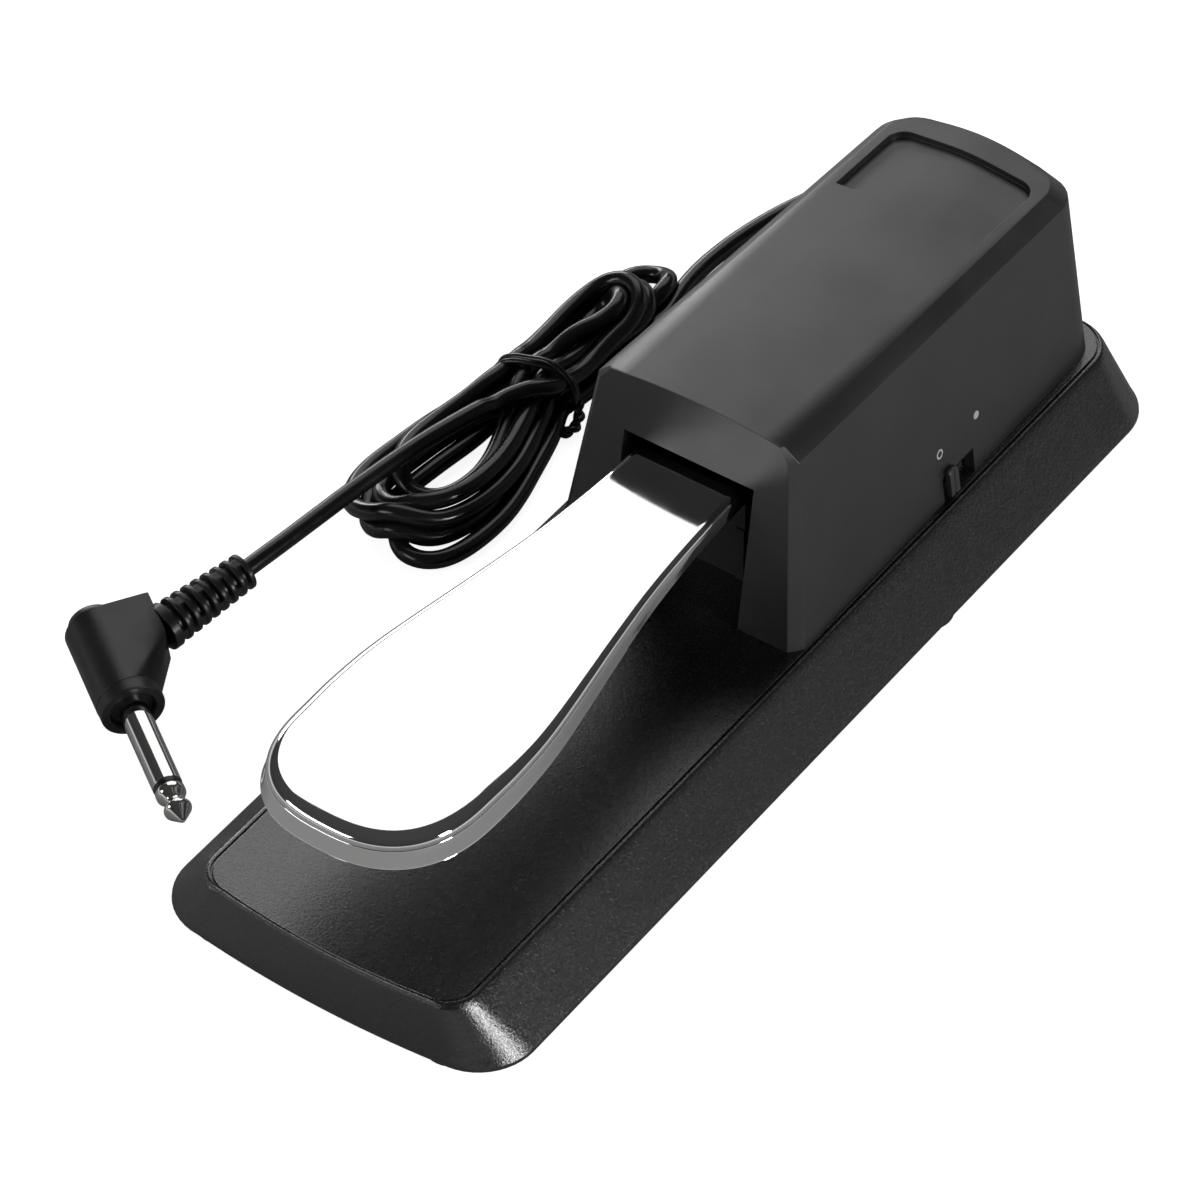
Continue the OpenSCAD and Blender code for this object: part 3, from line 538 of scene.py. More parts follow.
# From the tie to the plug's ribbed relief
TAIL_ROUTE = [(-66.2, 38, 12), (-68.4, 28, 12.8), (-70.6, 18, 13.3), (-72.6, 8, 13.4),
              (-74.2, -2, 13.3), (-75.6, -12, 13.2), (-76.4, -19, 13.1), (-77.5, -28, 12.9),
              (-78.2, -33, 12.7), (-79, -37.8, 12.4), (-79.8, -42.1, 12)]
TIE_AT = (-67.4, 46.0)
TIE_HALF = (9.5, 2.6)
SLOT_PITCH = 4.1
# The tie holds three rows of runs, four, three and four, lying in each other's hollows.
ROW_HEIGHTS = [3.2, 6.75, 10.3]
ROW_SLOTS = [4, 3, 4]
# Row and slot of each run through the tie, in the order in which the lead was wound
RUNS = [(0, 3), (0, 1), (0, 2), (0, 0), (1, 2), (1, 0), (2, 2), (1, 1), (2, 1), (2, 0), (2, 3)]
# The fold that follows each run, at the plug's end and at the housing's end of the hank by turns
FRONT_FOLDS = [
    [(-56, 25, 2.2), (-52.4, 13, 2.1), (-51.8, 2, 2.1), (-54.2, -7, 2.1), (-60, -12, 2.1),
     (-66.5, -11.5, 2.1), (-72, -6.5, 2.1), (-74.6, 3, 2.1), (-74.8, 16, 2.1), (-72.6, 30, 2.4)],
    [(-58, 28, 4.4), (-55, 17, 6), (-55.2, 7, 6.2), (-58.6, -3, 6.3), (-64, -9.6, 6.3), (-70, -10.4, 6),
     (-75.6, -7, 4), (-79, 1, 2.3), (-79.2, 14, 2.1), (-77, 28, 2.5)],
    [(-58, 28, 8), (-55, 15, 9.6), (-55.4, 5, 10), (-59.5, -4, 10), (-67.5, -9, 10), (-76, -8.6, 8),
     (-82.6, -2.4, 5.4), (-83.8, 9, 4.6), (-80, 24, 5.6), (-75.6, 34, 6.4)],
    [(-60, 28, 11), (-57.2, 16, 12.8), (-58.2, 6, 13.2), (-62.5, -2, 12.8), (-69, -5, 10.8),
     (-75.5, -2.5, 7.6), (-78.6, 5, 6.2), (-77.6, 16, 6), (-74, 28, 6.4)],
    [(-64, 30, 10.4), (-60.6, 18, 9.6), (-61.8, 8, 9.4), (-66, 1.4, 9), (-71.6, 0.5, 9), (-76, 5, 9.6),
     (-78, 14, 9.8), (-77, 25, 9.8), (-75, 35, 10)],
]
REAR_FOLDS = [
    [(-70.8, 60, 2.4), (-73.4, 72, 2.1), (-75.6, 83, 2.2), (-75.2, 92, 2.8), (-69.4, 97.6, 4.4),
     (-63, 93.4, 6), (-61.8, 84, 6.5), (-64.4, 73, 5.8), (-67.2, 60, 3.6)],
    [(-75, 60, 2.6), (-76, 70, 4), (-74.8, 79, 6.2), (-71.8, 86.6, 7), (-67, 89, 8.8),
     (-62.8, 84.6, 10.6), (-62.2, 74, 9.2), (-63, 60, 7.2)],
    [(-73.2, 60, 6.4), (-75, 69, 7.6), (-75.2, 77, 9), (-72.2, 83.6, 10.2), (-67, 84.6, 12),
     (-63.4, 78, 13.8), (-64, 65, 12)],
    [(-69.3, 56, 6.4), (-71.2, 62, 6.4), (-72, 69, 7.2), (-71.6, 76.4, 9.4), (-68.4, 80.6, 12),
     (-63.6, 79, 15), (-63, 71, 15.8), (-66.2, 58, 13.4)],
    [(-73.4, 56, 9.8), (-74.6, 66, 10.8), (-74, 74, 12.4), (-70.6, 80.6, 14.6), (-65.2, 81.6, 16),
     (-61.6, 75, 16), (-61.2, 65, 14), (-61.2, 56, 11.6)],
]


def hank_route():
    """The lead's way in, then each run through the tie and the fold that follows it, then the tail."""
    points = list(LEAD_ROUTE)
    for k, (row, column) in enumerate(RUNS):
        x = TIE_AT[0] + (column - (ROW_SLOTS[row] - 1) / 2) * SLOT_PITCH
        way = 1 if k % 2 == 0 else -1
        points += [(x, TIE_AT[1] + way * dy, ROW_HEIGHTS[row]) for dy in (4, 0, -4)]
        if k < len(RUNS) - 1:
            points += (FRONT_FOLDS if way > 0 else REAR_FOLDS)[k // 2]
    return np.array(points + TAIL_ROUTE, float)


def smooth_curve(points, steps=12):
    """Centripetal Catmull-Rom curve through the points."""
    ends = np.vstack([2 * points[0] - points[1], points, 2 * points[-1] - points[-2]])
    out = []
    for p in (ends[i:i + 4] for i in range(len(points) - 1)):
        t = np.concatenate([[0], np.cumsum(np.linalg.norm(np.diff(p, axis=0), axis=1) ** 0.5)])
        for s in np.linspace(t[1], t[2], steps, endpoint=False):
            a = [((t[i + 1] - s) * p[i] + (s - t[i]) * p[i + 1]) / (t[i + 1] - t[i]) for i in range(3)]
            b = [((t[i + 2] - s) * a[i] + (s - t[i]) * a[i + 1]) / (t[i + 2] - t[i]) for i in range(2)]
            out.append(((t[2] - s) * b[0] + (s - t[1]) * b[1]) / (t[2] - t[1]))
    return np.array(out + [points[-1]])


def resampled(points, step):
    along = np.concatenate([[0], np.cumsum(np.linalg.norm(np.diff(points, axis=0), axis=1))])
    stops = np.linspace(0, along[-1], int(round(along[-1] / step)) + 1)
    return np.stack([np.interp(stops, along, points[:, k]) for k in range(3)], 1)


SETTLE_ROUNDS = 900
LAST_ROUNDS = 60
TIGHTEST_BEND = 8.8
# How much of the lead stays as it is drawn at each end, and over how much it then comes free
HELD_START = 110
HELD_END = 70
COMES_FREE = 20
# Cord gap, how far round each piece its neighbours are looked for, and how often
CORD_GAP = 0.15
LOOK_ROUND = 2.5
LOOK_EVERY = 6
# Shares of the way back to the drawn route: at first, always, and in the tie
DRAWN_PULL = 0.02
STEADY_PULL = 0.003
TIE_PULL = 0.3
SINK = 0.015


def settle(start):
    """Lets the runs push each other apart, keep their length, bend no tighter than a limit and lie down."""
    apart = CORD_D + CORD_GAP
    x = start.copy()
    n = len(x)
    step = np.linalg.norm(np.diff(x, axis=0), axis=1).mean()
    along = np.arange(n) * step
    free = np.clip(np.minimum(along - HELD_START, along[-1] - HELD_END - along) / COMES_FREE, 0, 1)
    tied = (abs(start[:, 1] - TIE_AT[1]) < TIE_HALF[1]) & (abs(start[:, 0] - TIE_AT[0]) < TIE_HALF[0])
    first, second = np.triu_indices(n, k=int(math.ceil(3 * apart / step)))
    for turn in range(SETTLE_ROUNDS):
        last = turn > SETTLE_ROUNDS - LAST_ROUNDS
        pull = DRAWN_PULL * (1 - turn / SETTLE_ROUNDS) ** 2 + STEADY_PULL
        x += (start - x) * (pull * free)[:, None]
        x[tied] += (start[tied] - x[tied]) * TIE_PULL
        if turn % LOOK_EVERY == 0:
            near = ((x[first] - x[second]) ** 2).sum(1) < (apart + LOOK_ROUND) ** 2
            a_all, b_all = first[near], second[near]
        gap = x[a_all] - x[b_all]
        distance = np.sqrt((gap * gap).sum(1)) + 1e-9
        close = distance < apart
        a, b = a_all[close], b_all[close]
        push = ((apart - distance[close]) / distance[close] * (0.3 if last else 0.5))[:, None] * gap[close]
        total = np.zeros_like(x)
        count = np.zeros(n)
        np.add.at(total, a, push)
        np.add.at(total, b, -push)
        np.add.at(count, a, 1)
        np.add.at(count, b, 1)
        x += total * (free / np.sqrt(np.maximum(count, 1)))[:, None]
        middle = (x[:-2] + x[2:]) / 2 - x[1:-1]
        size = np.linalg.norm(middle, axis=1)
        most = step * step / (2 * TIGHTEST_BEND)
        share = np.clip((size - most) / np.maximum(size, 1e-9), 0, 1) * 0.7 + (0.1 if last else 0.02)
        x[1:-1] += middle * (share * free[1:-1])[:, None]
        for parity in (0, 1):
            e = np.arange(parity, n - 1, 2)
            link = x[e + 1] - x[e]
            long = np.linalg.norm(link, axis=1)
            weight = np.maximum(free[e] + free[e + 1], 1e-9)
            mend = ((long - step) / long / weight * 0.5)[:, None] * link
            x[e] += mend * free[e][:, None]
            x[e + 1] -= mend * free[e + 1][:, None]
        x[:, 2] = np.maximum(x[:, 2] - SINK * free, CORD_R + 0.05)
    return x


def make_cord():
    """The lead as one curve, with its length in millimetres."""
    line = settle(resampled(smooth_curve(hank_route()), 2.5))
    data = bpy.data.curves.new("lead", "CURVE")
    data.dimensions = "3D"
    data.bevel_depth = CORD_R * MM
    data.bevel_resolution = 5
    data.use_fill_caps = True
    spline = data.splines.new("NURBS")
    spline.points.add(len(line) - 1)
    for point, place in zip(spline.points, line):
        point.co = (*mm(*place), 1)
    spline.order_u = 3
    spline.use_endpoint_u = True
    spline.resolution_u = 2
    cord = add_object("lead", data, FINISHES["cord_black"], "base", "cord_black",
                      "cord_lead", "cord_hank", "cord_tail")
    return cord, np.linalg.norm(np.diff(line, axis=0), axis=1).sum()


# ---- Base ----

BASE_LEN = 246.0
BASE_W = 86.0
DECK_Z = 15.5
FLOOR_GAP = 2.0
FRONT_BOW = 1.7
LOW_R = 13.0
DECK_R = 6.0
REAR_R = 10.0
BASE_WALL = 2.6
CEILING_Z = 12.7
ARC_STEPS = 12
BOW_STEPS = 16


def base_ring(side, front, rear, front_r, rear_r, z):
    """Outline of the base at one level, that far inside the floor outline; the front bows out."""
    w = BASE_W / 2 - side
    y0 = -BASE_LEN / 2 + FRONT_BOW + front
    y1 = BASE_LEN / 2 - rear
    half = w - front_r
    bow = [(x, y0 - FRONT_BOW * (1 - (x / half) ** 2)) for x in np.linspace(-half, half, BOW_STEPS + 1)[1:-1]]
    sides = [(w, y0 + front_r + (y1 - rear_r - y0 - front_r) * s) for s in (0.25, 0.5, 0.75)]
    flat = (arc(-w + front_r, y0 + front_r, front_r, 180, 270, ARC_STEPS) + bow
            + arc(w - front_r, y0 + front_r, front_r, 270, 360, ARC_STEPS) + sides
            + arc(w - rear_r, y1 - rear_r, rear_r, 0, 90, ARC_STEPS)
            + arc(-w + rear_r, y1 - rear_r, rear_r, 90, 180, ARC_STEPS)
            + [(-x, y) for x, y in reversed(sides)])
    return [(x, y, z) for x, y in flat]


def make_base():
    """Moulded shell: lip, sloping flank, crisp rim, fine groove, deck, and the hollow underneath."""
    side_in, front_in, rear_in = 10.9, 3.0, 1.2
    inner_r = LOW_R - BASE_WALL
    flank_low, rim_drop = FLOOR_GAP + 2.2, 1.0
    lip = [base_ring(side, front, rear, LOW_R, LOW_R, FLOOR_GAP + z)
           for side, front, rear, z in ((0.5, 0.5, 0.5, 0), (0.1, 0.1, 0.1, 0.2), (0, 0, 0, 0.5),
                                        (0.1, 0.05, 0, 1.2), (0.9, 0.3, 0.15, 2.2))]
    rise = DECK_Z - flank_low - rim_drop
    flank = [base_ring(0.9 + (side_in - 2.0) * s, 0.3 + (front_in - 0.9) * s, 0.15 + (rear_in - 0.5) * s,
                       LOW_R + (DECK_R + 1 - LOW_R) * s, LOW_R + (REAR_R - LOW_R) * s, flank_low + rise * s)
             for s in np.linspace(0.1, 1, 7)]
    rim = [base_ring(side_in + d - 0.9, front_in + d * 0.4 - 0.45, rear_in + d * 0.4 - 0.45,
                     DECK_R + 1 - d * 0.4, REAR_R - d * 0.3, DECK_Z + z)
           for d, z in ((0.1, -0.75), (0.35, -0.45), (0.65, -0.2), (0.95, -0.05), (1.25, 0), (1.5, -0.05),
                        (1.6, -0.5), (1.9, -0.55), (2.0, -0.1), (2.2, 0))]
    hollow = [base_ring(side_in + 1.3, front_in + BASE_WALL, rear_in + BASE_WALL, DECK_R, REAR_R - BASE_WALL,
                        CEILING_Z)]
    hollow += [base_ring(BASE_WALL + side, BASE_WALL + front, BASE_WALL + rear, inner_r, inner_r, z)
               for side, front, rear, z in ((0.6, 0.2, 0.1, 3.6), (0, 0, 0, FLOOR_GAP + 0.2),
                                            (-0.2, -0.2, -0.2, FLOOR_GAP))]
    points, faces = loft(hollow + lip + flank + rim)
    piece = add_object("base_moulding", smooth(mesh_of(points, faces), 28), FINISHES["base_plastic"], "base",
                       "base_plastic", "base_shell")
    return level_normals(piece)


# ---- Housing ----

# Front and rear at the deck and at the top, and half widths at the deck and at the shoulder
COVER = {"front": 0.2, "front_top": 7.8, "rear": 118.5, "rear_top": 117.4,
         "half_front": 30.8, "half_rear": 29.2, "shoulder_front": 24.6, "shoulder_rear": 23.4}
SHOULDER = 3.3
TOP_FRONT_Z = 62.6
TOP_REAR_Z = 58.8
CROWN = 1.6
COVER_R = 8.0
COVER_WALL = 2.4
MOUTH_HALF = 16.0
MOUTH_TOP = 50.0
# Switch slot in the right wall: its two ends along Y and its top
SLOT = (56.6, 68.4, 21.4)
# Recess in the top: its two ends along Y and its half width
RECESS = (85.0, 108.6, 17.6)
RECESS_R = 4.0
RECESS_DEPTH = 1.4


def cover_ring(half_front, half_rear, y0, y1, z_front, z_rear, rise, chamfer, inside):
    """Outline of the housing at one level: chamfered at the front, rounded at the rear, and crowned."""
    a, b = half_front - inside, half_rear - inside
    r = max(COVER_R - inside, 1)
    front, rear = y0 + inside, y1 - inside
    ring = [(-a, front + chamfer, z_front), (-a + chamfer * 0.8, front, z_front)]
    span = a - chamfer * 0.8
    ring += [(span * s, front, z_front + rise * (1 - s * s)) for s in np.linspace(-0.95, 0.95, 19)]
    ring += [(a - chamfer * 0.8, front, z_front), (a, front + chamfer, z_front)]
    ring += [(x, y, z_rear) for x, y in arc(b - r, rear - r, r, 0, 90, 8)]
    ring += [((b - r) * s, rear, z_rear + rise * (1 - s * s)) for s in np.linspace(0.95, -0.95, 15)]
    ring += [(x, y, z_rear) for x, y in arc(-b + r, rear - r, r, 90, 180, 8)]
    return ring


def cover_hull(inside, floor_z):
    """The housing's solid shape, that far inside its surface."""
    c = COVER
    return hull_mesh(
        cover_ring(c["half_front"], c["half_rear"], c["front"], c["rear"], floor_z, floor_z, 0, 3.0, inside)
        + cover_ring(c["shoulder_front"], c["shoulder_rear"], c["front_top"] - 0.5, c["rear_top"],
                     TOP_FRONT_Z - SHOULDER - inside / 2, TOP_REAR_Z - SHOULDER - inside / 2, 0, 1.8, inside)
        + cover_ring(c["shoulder_front"] - SHOULDER, c["shoulder_rear"] - SHOULDER, c["front_top"],
                     c["rear_top"] - 2, TOP_FRONT_Z - inside, TOP_REAR_Z - inside, CROWN, 0.8, inside), 0.3)


def recess_cutter():
    """Outline of the top's recess, rounded at the rear and cut down to a floor that follows the crown."""
    y0, y1, half = RECESS
    r = RECESS_R
    flat = ([(-half, y0), (half, y0)] + arc(half - r, y1 - r, r, 0, 90, 8)
            + arc(-half + r, y1 - r, r, 90, 180, 8))
    points, faces = loft([[(x, y, z) for x, y in flat] for z in (TOP_REAR_Z - 4, TOP_REAR_Z + 8)])
    return carve(mesh_of(points, faces), [cover_hull(RECESS_DEPTH, DECK_Z)])


def make_cover():
    """Housing shell with its drafted sides, crowned top, mouth, switch slot and recess."""
    y0, y1, slot_top = SLOT
    body = carve(cover_hull(0, DECK_Z), [
        cover_hull(COVER_WALL, DECK_Z - 2),
        box_mesh((-MOUTH_HALF, -5, DECK_Z - 1), (MOUTH_HALF, 11, MOUTH_TOP)),
        box_mesh((26, y0, DECK_Z - 1), (38, y1, slot_top)),
        recess_cutter()])
    piece = add_object("housing", softened(body, 0.6, 4, 25), FINISHES["cover_plastic"], "base",
                       "cover_plastic", "housing_cover")
    return level_normals(piece)


# ---- Treadle ----

PIVOT = (0, 70, 38)
REST_TILT = -0.85
PLATE_Z = 46.5
SHEET = 1.4
TOE_Y = -119.0
TOE_SHOULDER_Y = -93.0
TAIL_Y = 93.0
TOE_HALF = 24.2
TOE_POWER = 0.8
# How much narrower than the toe's shoulder the treadle is on each side, along its length
NARROWING = [(-93, 0), (-86, 0), (-80, 0.3), (-75, 0.7), (-69, 1.5), (-62, 2.7), (-54, 4.2), (-46, 5.7),
             (-38, 7.1), (-30, 8.4), (-20, 9.6), (-8, 10.6), (4, 11.1), (20, 11.2), (60, 11.2),
             (93, 11.2)]
REST = Matrix.Translation(PIVOT) @ Matrix.Rotation(math.radians(REST_TILT), 4, "X") @ Matrix.Translation(
    tuple(-c for c in PIVOT))


def treadle_outline():
    """Right half of the treadle's edge from the toe's tip to the tail, then the left half back."""
    toe = [(TOE_HALF * max(math.cos(a), 0) ** TOE_POWER,
            TOE_SHOULDER_Y - (TOE_SHOULDER_Y - TOE_Y) * math.sin(a) ** TOE_POWER)
           for a in np.radians(np.linspace(90, 0, 60))]
    side = smooth_curve(np.array([(TOE_HALF - n, y, 0) for y, n in NARROWING]), 6)
    right = resampled(np.array([(x, y, 0) for x, y in toe] + [(x, y, 0) for x, y, _ in side[1:]], float), 1.3)
    right = right[:, :2]
    right[0, 0] = 0
    left = right[-1:0:-1] * (-1, 1)
    return np.vstack([right, left])


def inward(outline):
    """Direction to the inside at each point of a closed outline."""
    ahead, behind = np.roll(outline, -1, axis=0), np.roll(outline, 1, axis=0)
    along = (ahead - outline) / np.linalg.norm(ahead - outline, axis=1)[:, None]
    along += (outline - behind) / np.linalg.norm(outline - behind, axis=1)[:, None]
    along /= np.linalg.norm(along, axis=1)[:, None]
    return np.stack([-along[:, 1], along[:, 0]], 1)


def make_treadle():
    """Pressed and plated treadle: flat top rolled down to a crease, and a skirt that flares below it."""
    edge = treadle_outline()
    inside = inward(edge)
    level = np.zeros(len(edge))
    # The roll and the skirt grow from the mouth to the toe's shoulder.
    share = np.clip((20 - edge[:, 1]) / (20 - TOE_SHOULDER_Y), 0, 1)
    skirt = 3.6 + 3.4 * share
    crease = 0.2 + 1.0 * share ** 2
    wide = 1.7 + 2.0 * share ** 2
    deep = 1.3 + 1.2 * share ** 2
    rows = [(crease + wide * (1 - math.sin(a)), deep * (1 - math.cos(a)))
            for a in np.radians(np.linspace(0, 88, 16))]
    rows += [(crease + 0.12, deep + 0.12), (crease + 0.1, deep + 0.3), (crease * 0.92, deep + 0.45),
             (crease * 0.5, (deep + skirt) / 2), (crease * 0.12, skirt - 0.5), (level, skirt - 0.3),
             (level + 0.08, skirt - 0.12), (level + 0.3, skirt), (level + SHEET - 0.3, skirt),
             (level + SHEET, skirt - 0.25), (crease * 0.5 + SHEET, (skirt + deep) / 2 + 0.3),
             (crease + SHEET + 0.2, deep + SHEET + 0.1), (crease + wide + SHEET, level + SHEET)]
    rings = []
    for d, drop in rows:
        flat = edge + inside * d[:, None]
        rings.append([(x, min(y, TAIL_Y), PLATE_Z - z) for (x, y), z in zip(flat, drop)])
    points, faces = loft(rings)
    piece = add_object("treadle", smooth(mesh_of(placed(points, REST), faces), 40),
                       FINISHES["treadle_chrome"], "treadle", "treadle_chrome", "treadle_plate")
    return level_normals(piece)


# ---- Plug ----

PLUG_AT = (-76.2, -82.8, 6.8)
PLUG = (Matrix.Translation(PLUG_AT) @ Matrix.Rotation(math.radians(-33.2), 4, "Z")
        @ Matrix.Rotation(math.radians(4.2), 4, "Y") @ Matrix.Rotation(math.radians(6), 4, "X"))
AXIS_X = Matrix.Rotation(math.radians(90), 4, "Y")
JACK_R = 3.175
SLEEVE_LEN = 21.6
JACK_LEN = 31.4
BOOT_FACE = 12.2
BARREL_R = 7.0


def jack_piece(name, profile, finish, replaced):
    """A turned piece on the jack's axis."""
    points, faces = lathe(profile, 72)
    data = smooth(mesh_of(placed(points, PLUG @ AXIS_X), faces), 32)
    return level_normals(add_object(name, data, FINISHES[finish], "base", finish, replaced))


def make_jack():
    """Sleeve, insulating ring and pointed tip; the ring is turned on a pin that goes into the sleeve."""
    z = SLEEVE_LEN
    ring_r, ring_end = JACK_R - 0.08, z + 1.2
    sleeve = [(0.01, -6), (2.6, -6), (2.6, 0.3), (JACK_R, 0.3), (JACK_R, z), (1.4, z), (1.4, z - 4),
              (0.01, z - 4)]
    ring = [(0.01, z - 4), (1.4, z - 4), (1.4, z), (ring_r, z), (ring_r, ring_end), (0.01, ring_end)]
    tip = [(0.01, ring_end), (JACK_R, ring_end), (JACK_R, z + 2.7), (1.95, z + 4.1), (1.95, z + 4.9),
           (2.95, z + 6.0), (2.95, z + 6.9), (1.1, JACK_LEN - 0.7), (0.5, JACK_LEN), (0.01, JACK_LEN)]
    jack_piece("jack_sleeve", rounded(sleeve, 0.15, 3), "jack_nickel", "plug_sleeve")
    jack_piece("jack_ring", rounded(ring, 0.06, 2), "jack_insulator", "plug_insulator")
    jack_piece("jack_tip", rounded(tip, 0.4, 4), "jack_nickel", "plug_tip")


def make_boot():
    """Right-angle boot: a barrel round the jack with a cupped front, a wedge to the cord, and a rear cap."""
    barrel = [(x, y, z) for x in (-24, -3) for y, z in circle(BARREL_R, 40)]
    block = [(x, y, z) for x in (-25, -14) for y in (9, BOOT_FACE) for z in (-4.8, 4.8)]
    core = hull_mesh(barrel + block, 1.5)
    cup, cap = (mesh_of(placed(points, AXIS_X), faces) for points, faces in (
        lathe(rounded([(0.01, -8), (6.9, -8), (6.9, 0), (5.0, 0), (4.6, -1.8), (0.01, -1.8)], 0.5, 3), 48),
        lathe(rounded([(0.01, -27), (4.8, -27), (5.4, -25.4), (5.4, -20), (0.01, -20)], 0.9, 4), 48)))
    cap.transform(Matrix.Translation(mm(0, -0.5, 0)))
    joined = carve(softened(core, 0.7, 3, 20), [cup, cap], "UNION")
    joined.transform(Matrix.Translation(mm(*PLUG_AT)) @ PLUG.to_3x3().to_4x4())
    return level_normals(add_object("boot", smooth(joined, 32), FINISHES["boot_black"], "base", "boot_black",
                                    "plug_boot"))


def make_boot_relief():
    """Ribbed relief: discs on a tapering core, bridged by webs that change sides from gap to gap."""
    turn = (PLUG @ Matrix.Translation((-18.3, BOOT_FACE, 0)) @ Matrix.Rotation(math.radians(20), 4, "Z")
            @ Matrix.Rotation(math.radians(-90), 4, "X"))
    profile = [(0.01, 0), (5.2, 0), (5.2, 2.2)]
    webs = []
    for k in range(8):
        core, disc, z = 3.5 - k * 0.1, 5.0 - k * 0.13, 2.4 + 2.5 * k
        profile += [(core, z), (core, z + 1.1), (disc, z + 1.2), (disc, z + 2.4)]
        for side in (-1, 1):
            low, high = sorted((side * 2.4, side * (disc - 0.25)))
            across = (low, -1.1, z - 0.4), (high, 1.1, z + 1.6)
            webs.append(box_mesh(*across, Matrix.Rotation(math.radians(90 * (k % 2)), 4, "Z")))
    profile += [(2.9, 22.4), (2.2, 22.6), (0.01, 22.6)]
    points, faces = lathe(rounded(profile, 0.28, 3), 48)
    body = carve(mesh_of(points, faces), [softened(w, 0.2, 2) for w in webs], "UNION")
    place = Matrix.Translation(mm(*turn.translation)) @ turn.to_3x3().to_4x4()
    body.transform(place)
    return level_normals(add_object("boot_relief", smooth(body, 35), FINISHES["boot_black"], "base",
                                    "boot_black", "plug_relief"))


# ---- Tie, strain relief, knob, spring and marks ----


def make_tie():
    """Covered wire twice round the hank's waist, its two ends twisted together into a curl."""
    half_w, half_h, middle, wire_r = 8.9, 6.2, 6.8, 0.75
    tie_x, tie_y = TIE_AT
    loop = []
    for turn, lean, offset in ((0, 0.3, -1.2), (1, 0.12, -0.6)):
        for a in np.radians(np.linspace(-40, 300, 44)):
            c, s = math.cos(a), math.sin(a)
            x = (half_w + 0.3 * turn) * math.copysign(abs(c) ** 0.75, c)
            over = 1.3 * turn * math.exp(-((x - 3) / 4) ** 2) if s > 0 else 0
            z = (half_h + 0.2 * turn) * math.copysign(abs(s) ** 0.8, s) + over
            loop.append((tie_x + x, tie_y + offset + lean * x, middle + z))
    curl = np.array([(9.4, 1.6, 4.2), (10.2, 0.8, 2.6), (11, -1.2, 1.7), (11.4, -3.6, 1.6), (10.2, -5.4, 1.6),
                     (8.6, -4.8, 1.7), (8.6, -3.2, 2.2)])
    curl = smooth_curve(curl, 5) + (tie_x, tie_y, 0)
    along = np.gradient(curl, axis=0)
    across = np.stack([-along[:, 1], along[:, 0], 0 * along[:, 2]], 1)
    across /= np.linalg.norm(across, axis=1)[:, None]
    turned_by = np.linspace(0, 4.5 * math.pi, len(curl))[:, None]
    offset = 0.6 * (np.cos(turned_by) * across + np.sin(turned_by) * (0, 0, 1))
    one = curl + offset
    other = (curl - offset)[:24]
    wire = resampled(smooth_curve(np.array([*other[::-1], *loop, *one]), 4), 0.5)
    points, faces = tube(wire, wire_r, 12, (0, 1, 0.1))
    points = [(x, y, max(z, 0.05)) for x, y, z in points]
    return add_object("twist_tie", smooth(mesh_of(points, faces), 60), FINISHES["cord_black"], "base",
                      "cord_black", "cord_tie")


def make_cord_relief():
    """Strain relief in the rear wall, slotted from both sides so that it bends with the lead."""
    turn = Matrix.Translation(mm(0, 0, EXIT[2])) @ Matrix.Rotation(math.radians(-90), 4, "X")
    profile = [(0.01, 117.7), (3.55, 117.7), (3.55, 119), (3.15, 119), (3.15, 123.1), (4.6, 123.1),
               (4.6, 125), (3.1, 138.4), (2.5, 139), (0.01, 139)]
    points, faces = lathe(rounded(profile, 0.3, 3), 48)
    cuts = []
    for k in range(4):
        for side in (0, 180):
            cuts.append(box_mesh((1.9, -6, 126.4 + 2.8 * k), (7.9, 6, 127.7 + 2.8 * k),
                                 Matrix.Rotation(math.radians(side + 90 * (k % 2)), 4, "Z")))
    body = carve(mesh_of(points, faces), cuts)
    body.transform(turn)
    return level_normals(add_object("lead_relief", smooth(body, 35), FINISHES["boot_black"], "base",
                                    "boot_black", "cord_relief"))


def make_knob():
    """Slide knob: slider and neck inside, and outside a ribbed finger cap that leans with the wall."""
    y, z = 58.8, DECK_Z
    lean = Matrix.Translation((30.1, y - 1.6, z + 1.4)) @ Matrix.Rotation(math.radians(-8), 4, "Y")
    outline = [(0, 0), (1.3, 0), (1.3, 6.1), (0.9, 6.6), (0, 6.6)]
    rings = []
    for across in np.linspace(0, 3.2, 17):
        dip = 0.35 if 1.35 < across < 1.85 else 0.0
        crown = 0.5 * (abs(across - 1.6) / 1.6) ** 3
        rings.append([(min(px, 1.3 - dip), across, pz if pz < 6 else pz - crown) for px, pz in outline])
    points, faces = loft(rings)
    cap = mesh_of(placed(points, lean), faces)
    stem = box_mesh((24.8, y - 1.3, z + 1.6), (30.6, y + 1.3, z + 4.6))
    slider = box_mesh((21.2, y - 2.2, z + 1.3), (25.2, y + 2.2, z + 4.9))
    body = softened(carve(cap, [stem, slider], "UNION"), 0.18, 2, 35)
    return level_normals(add_object("switch_knob", body, FINISHES["knob_grey"], "knob", "knob_grey",
                                    "polarity_knob"))


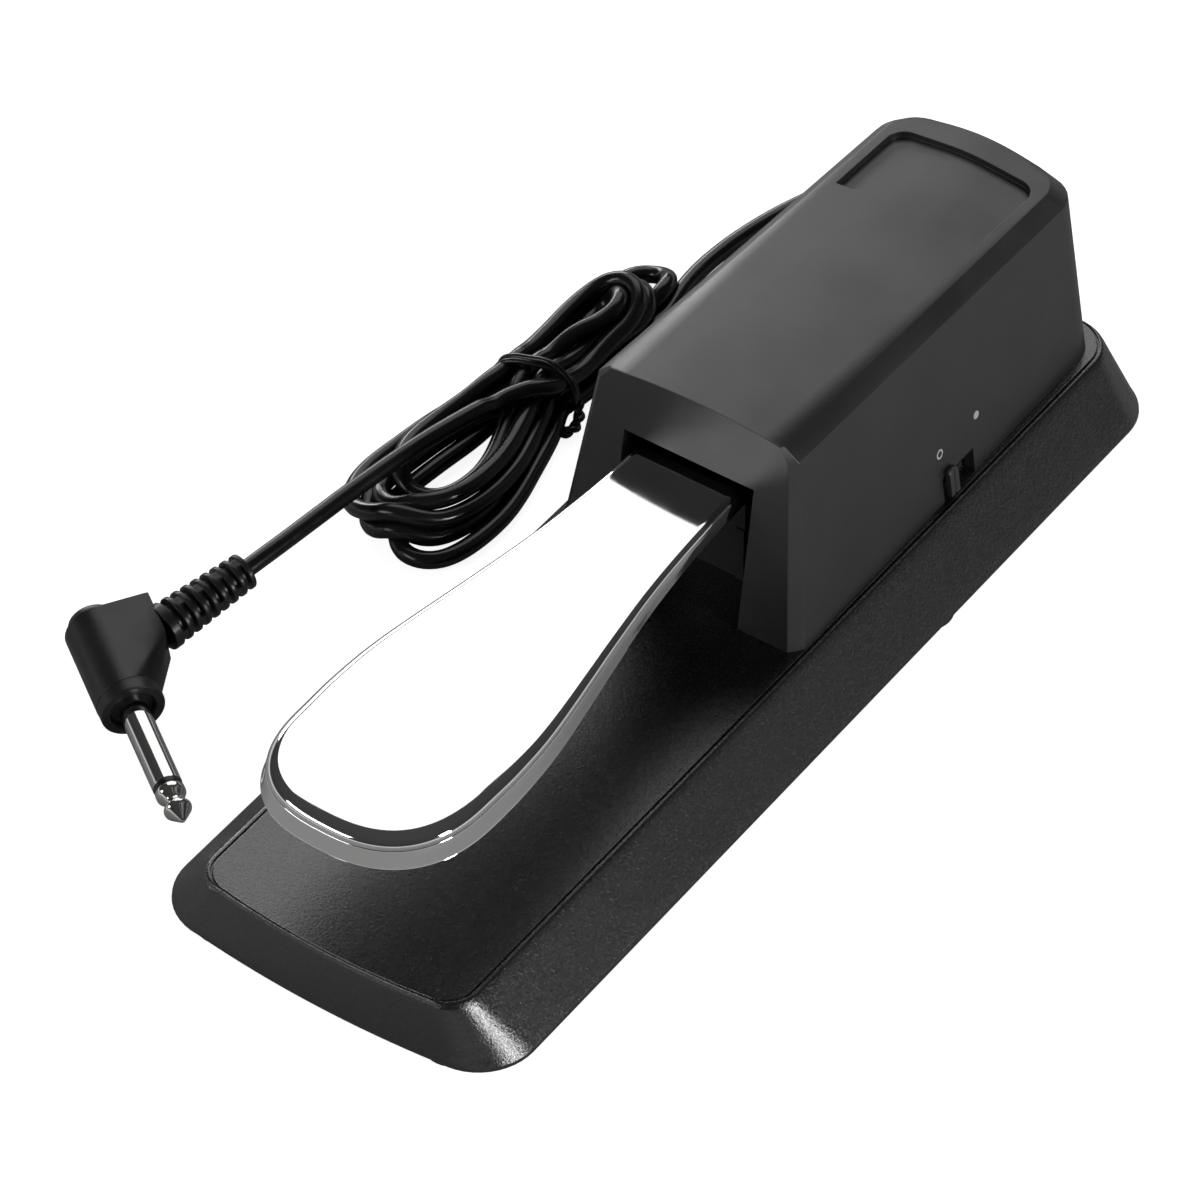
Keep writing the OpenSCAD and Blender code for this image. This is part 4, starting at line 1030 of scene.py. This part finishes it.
def make_spring():
    """Return spring, wound a little closer at both ends."""
    low, high, turns, r, wire, spring_y = 19.3, 44.7, 7, 5.6, 0.8, 32
    rise = high - low - 2 * wire
    path = []
    for s in np.linspace(0, 1, turns * 36 + 1):
        a = 2 * math.pi * turns * s
        eased = s - 0.045 * math.sin(2 * math.pi * s)
        path.append((r * math.cos(a), spring_y + r * math.sin(a), low + wire + rise * eased))
    points, faces = tube(path, wire, 12, (1, 0, 0))
    piece = add_object("coil_spring", smooth(mesh_of(points, faces), 60), FINISHES["spring_steel"], "base",
                       "spring_steel", "return_spring")
    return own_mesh(piece)


def on_side_wall(points, y, z):
    """Points (along, up, proud) laid on the housing's right wall round that place."""
    c = COVER
    top_z, low_z = TOP_FRONT_Z - SHOULDER, DECK_Z
    out = []
    for u, v, proud in points:
        py, pz = y + u, z + v
        along = (py - c["front"]) / (c["rear"] - COVER_R - c["front"])
        low = c["half_front"] + (c["half_rear"] - c["half_front"]) * along
        high = c["shoulder_front"] + (c["shoulder_rear"] - c["shoulder_front"]) * along
        out.append((low + (high - low) * (pz - low_z) / (top_z - low_z) + proud, py, pz))
    return out


def make_marks():
    """Two plain printed marks beside the switch: an open ring and a dot."""
    proud, sunk, n = 0.06, -0.1, 40
    corners = [(1.15, sunk), (1.15, proud), (0.75, proud), (0.75, sunk)]
    ring = [(x, y, z) for r, z in corners for x, y in circle(r, n)]
    ring_faces = [(k * n + i, k * n + (i + 1) % n, (k + 1) % 4 * n + (i + 1) % n, (k + 1) % 4 * n + i)
                  for k in range(4) for i in range(n)]
    dot, dot_faces = loft([[(x, y, z) for x, y in circle(0.95, n)] for z in (sunk, proud)])
    for name, points, faces, y, z in (("mark_open", ring, ring_faces, 56.5, 28.2),
                                      ("mark_closed", dot, dot_faces, 70.7, 28.6)):
        add_object(name, smooth(mesh_of(on_side_wall(points, y, z), faces), 30), MARK_WHITE, "base",
                   "cover_plastic")


# ---- Build ----

make_base()
make_cover()
make_treadle()
make_jack()
make_boot()
make_boot_relief()
make_tie()
make_cord_relief()
make_knob()
make_spring()
make_marks()
cord, cord_length = make_cord()
dress_cad_nodes()
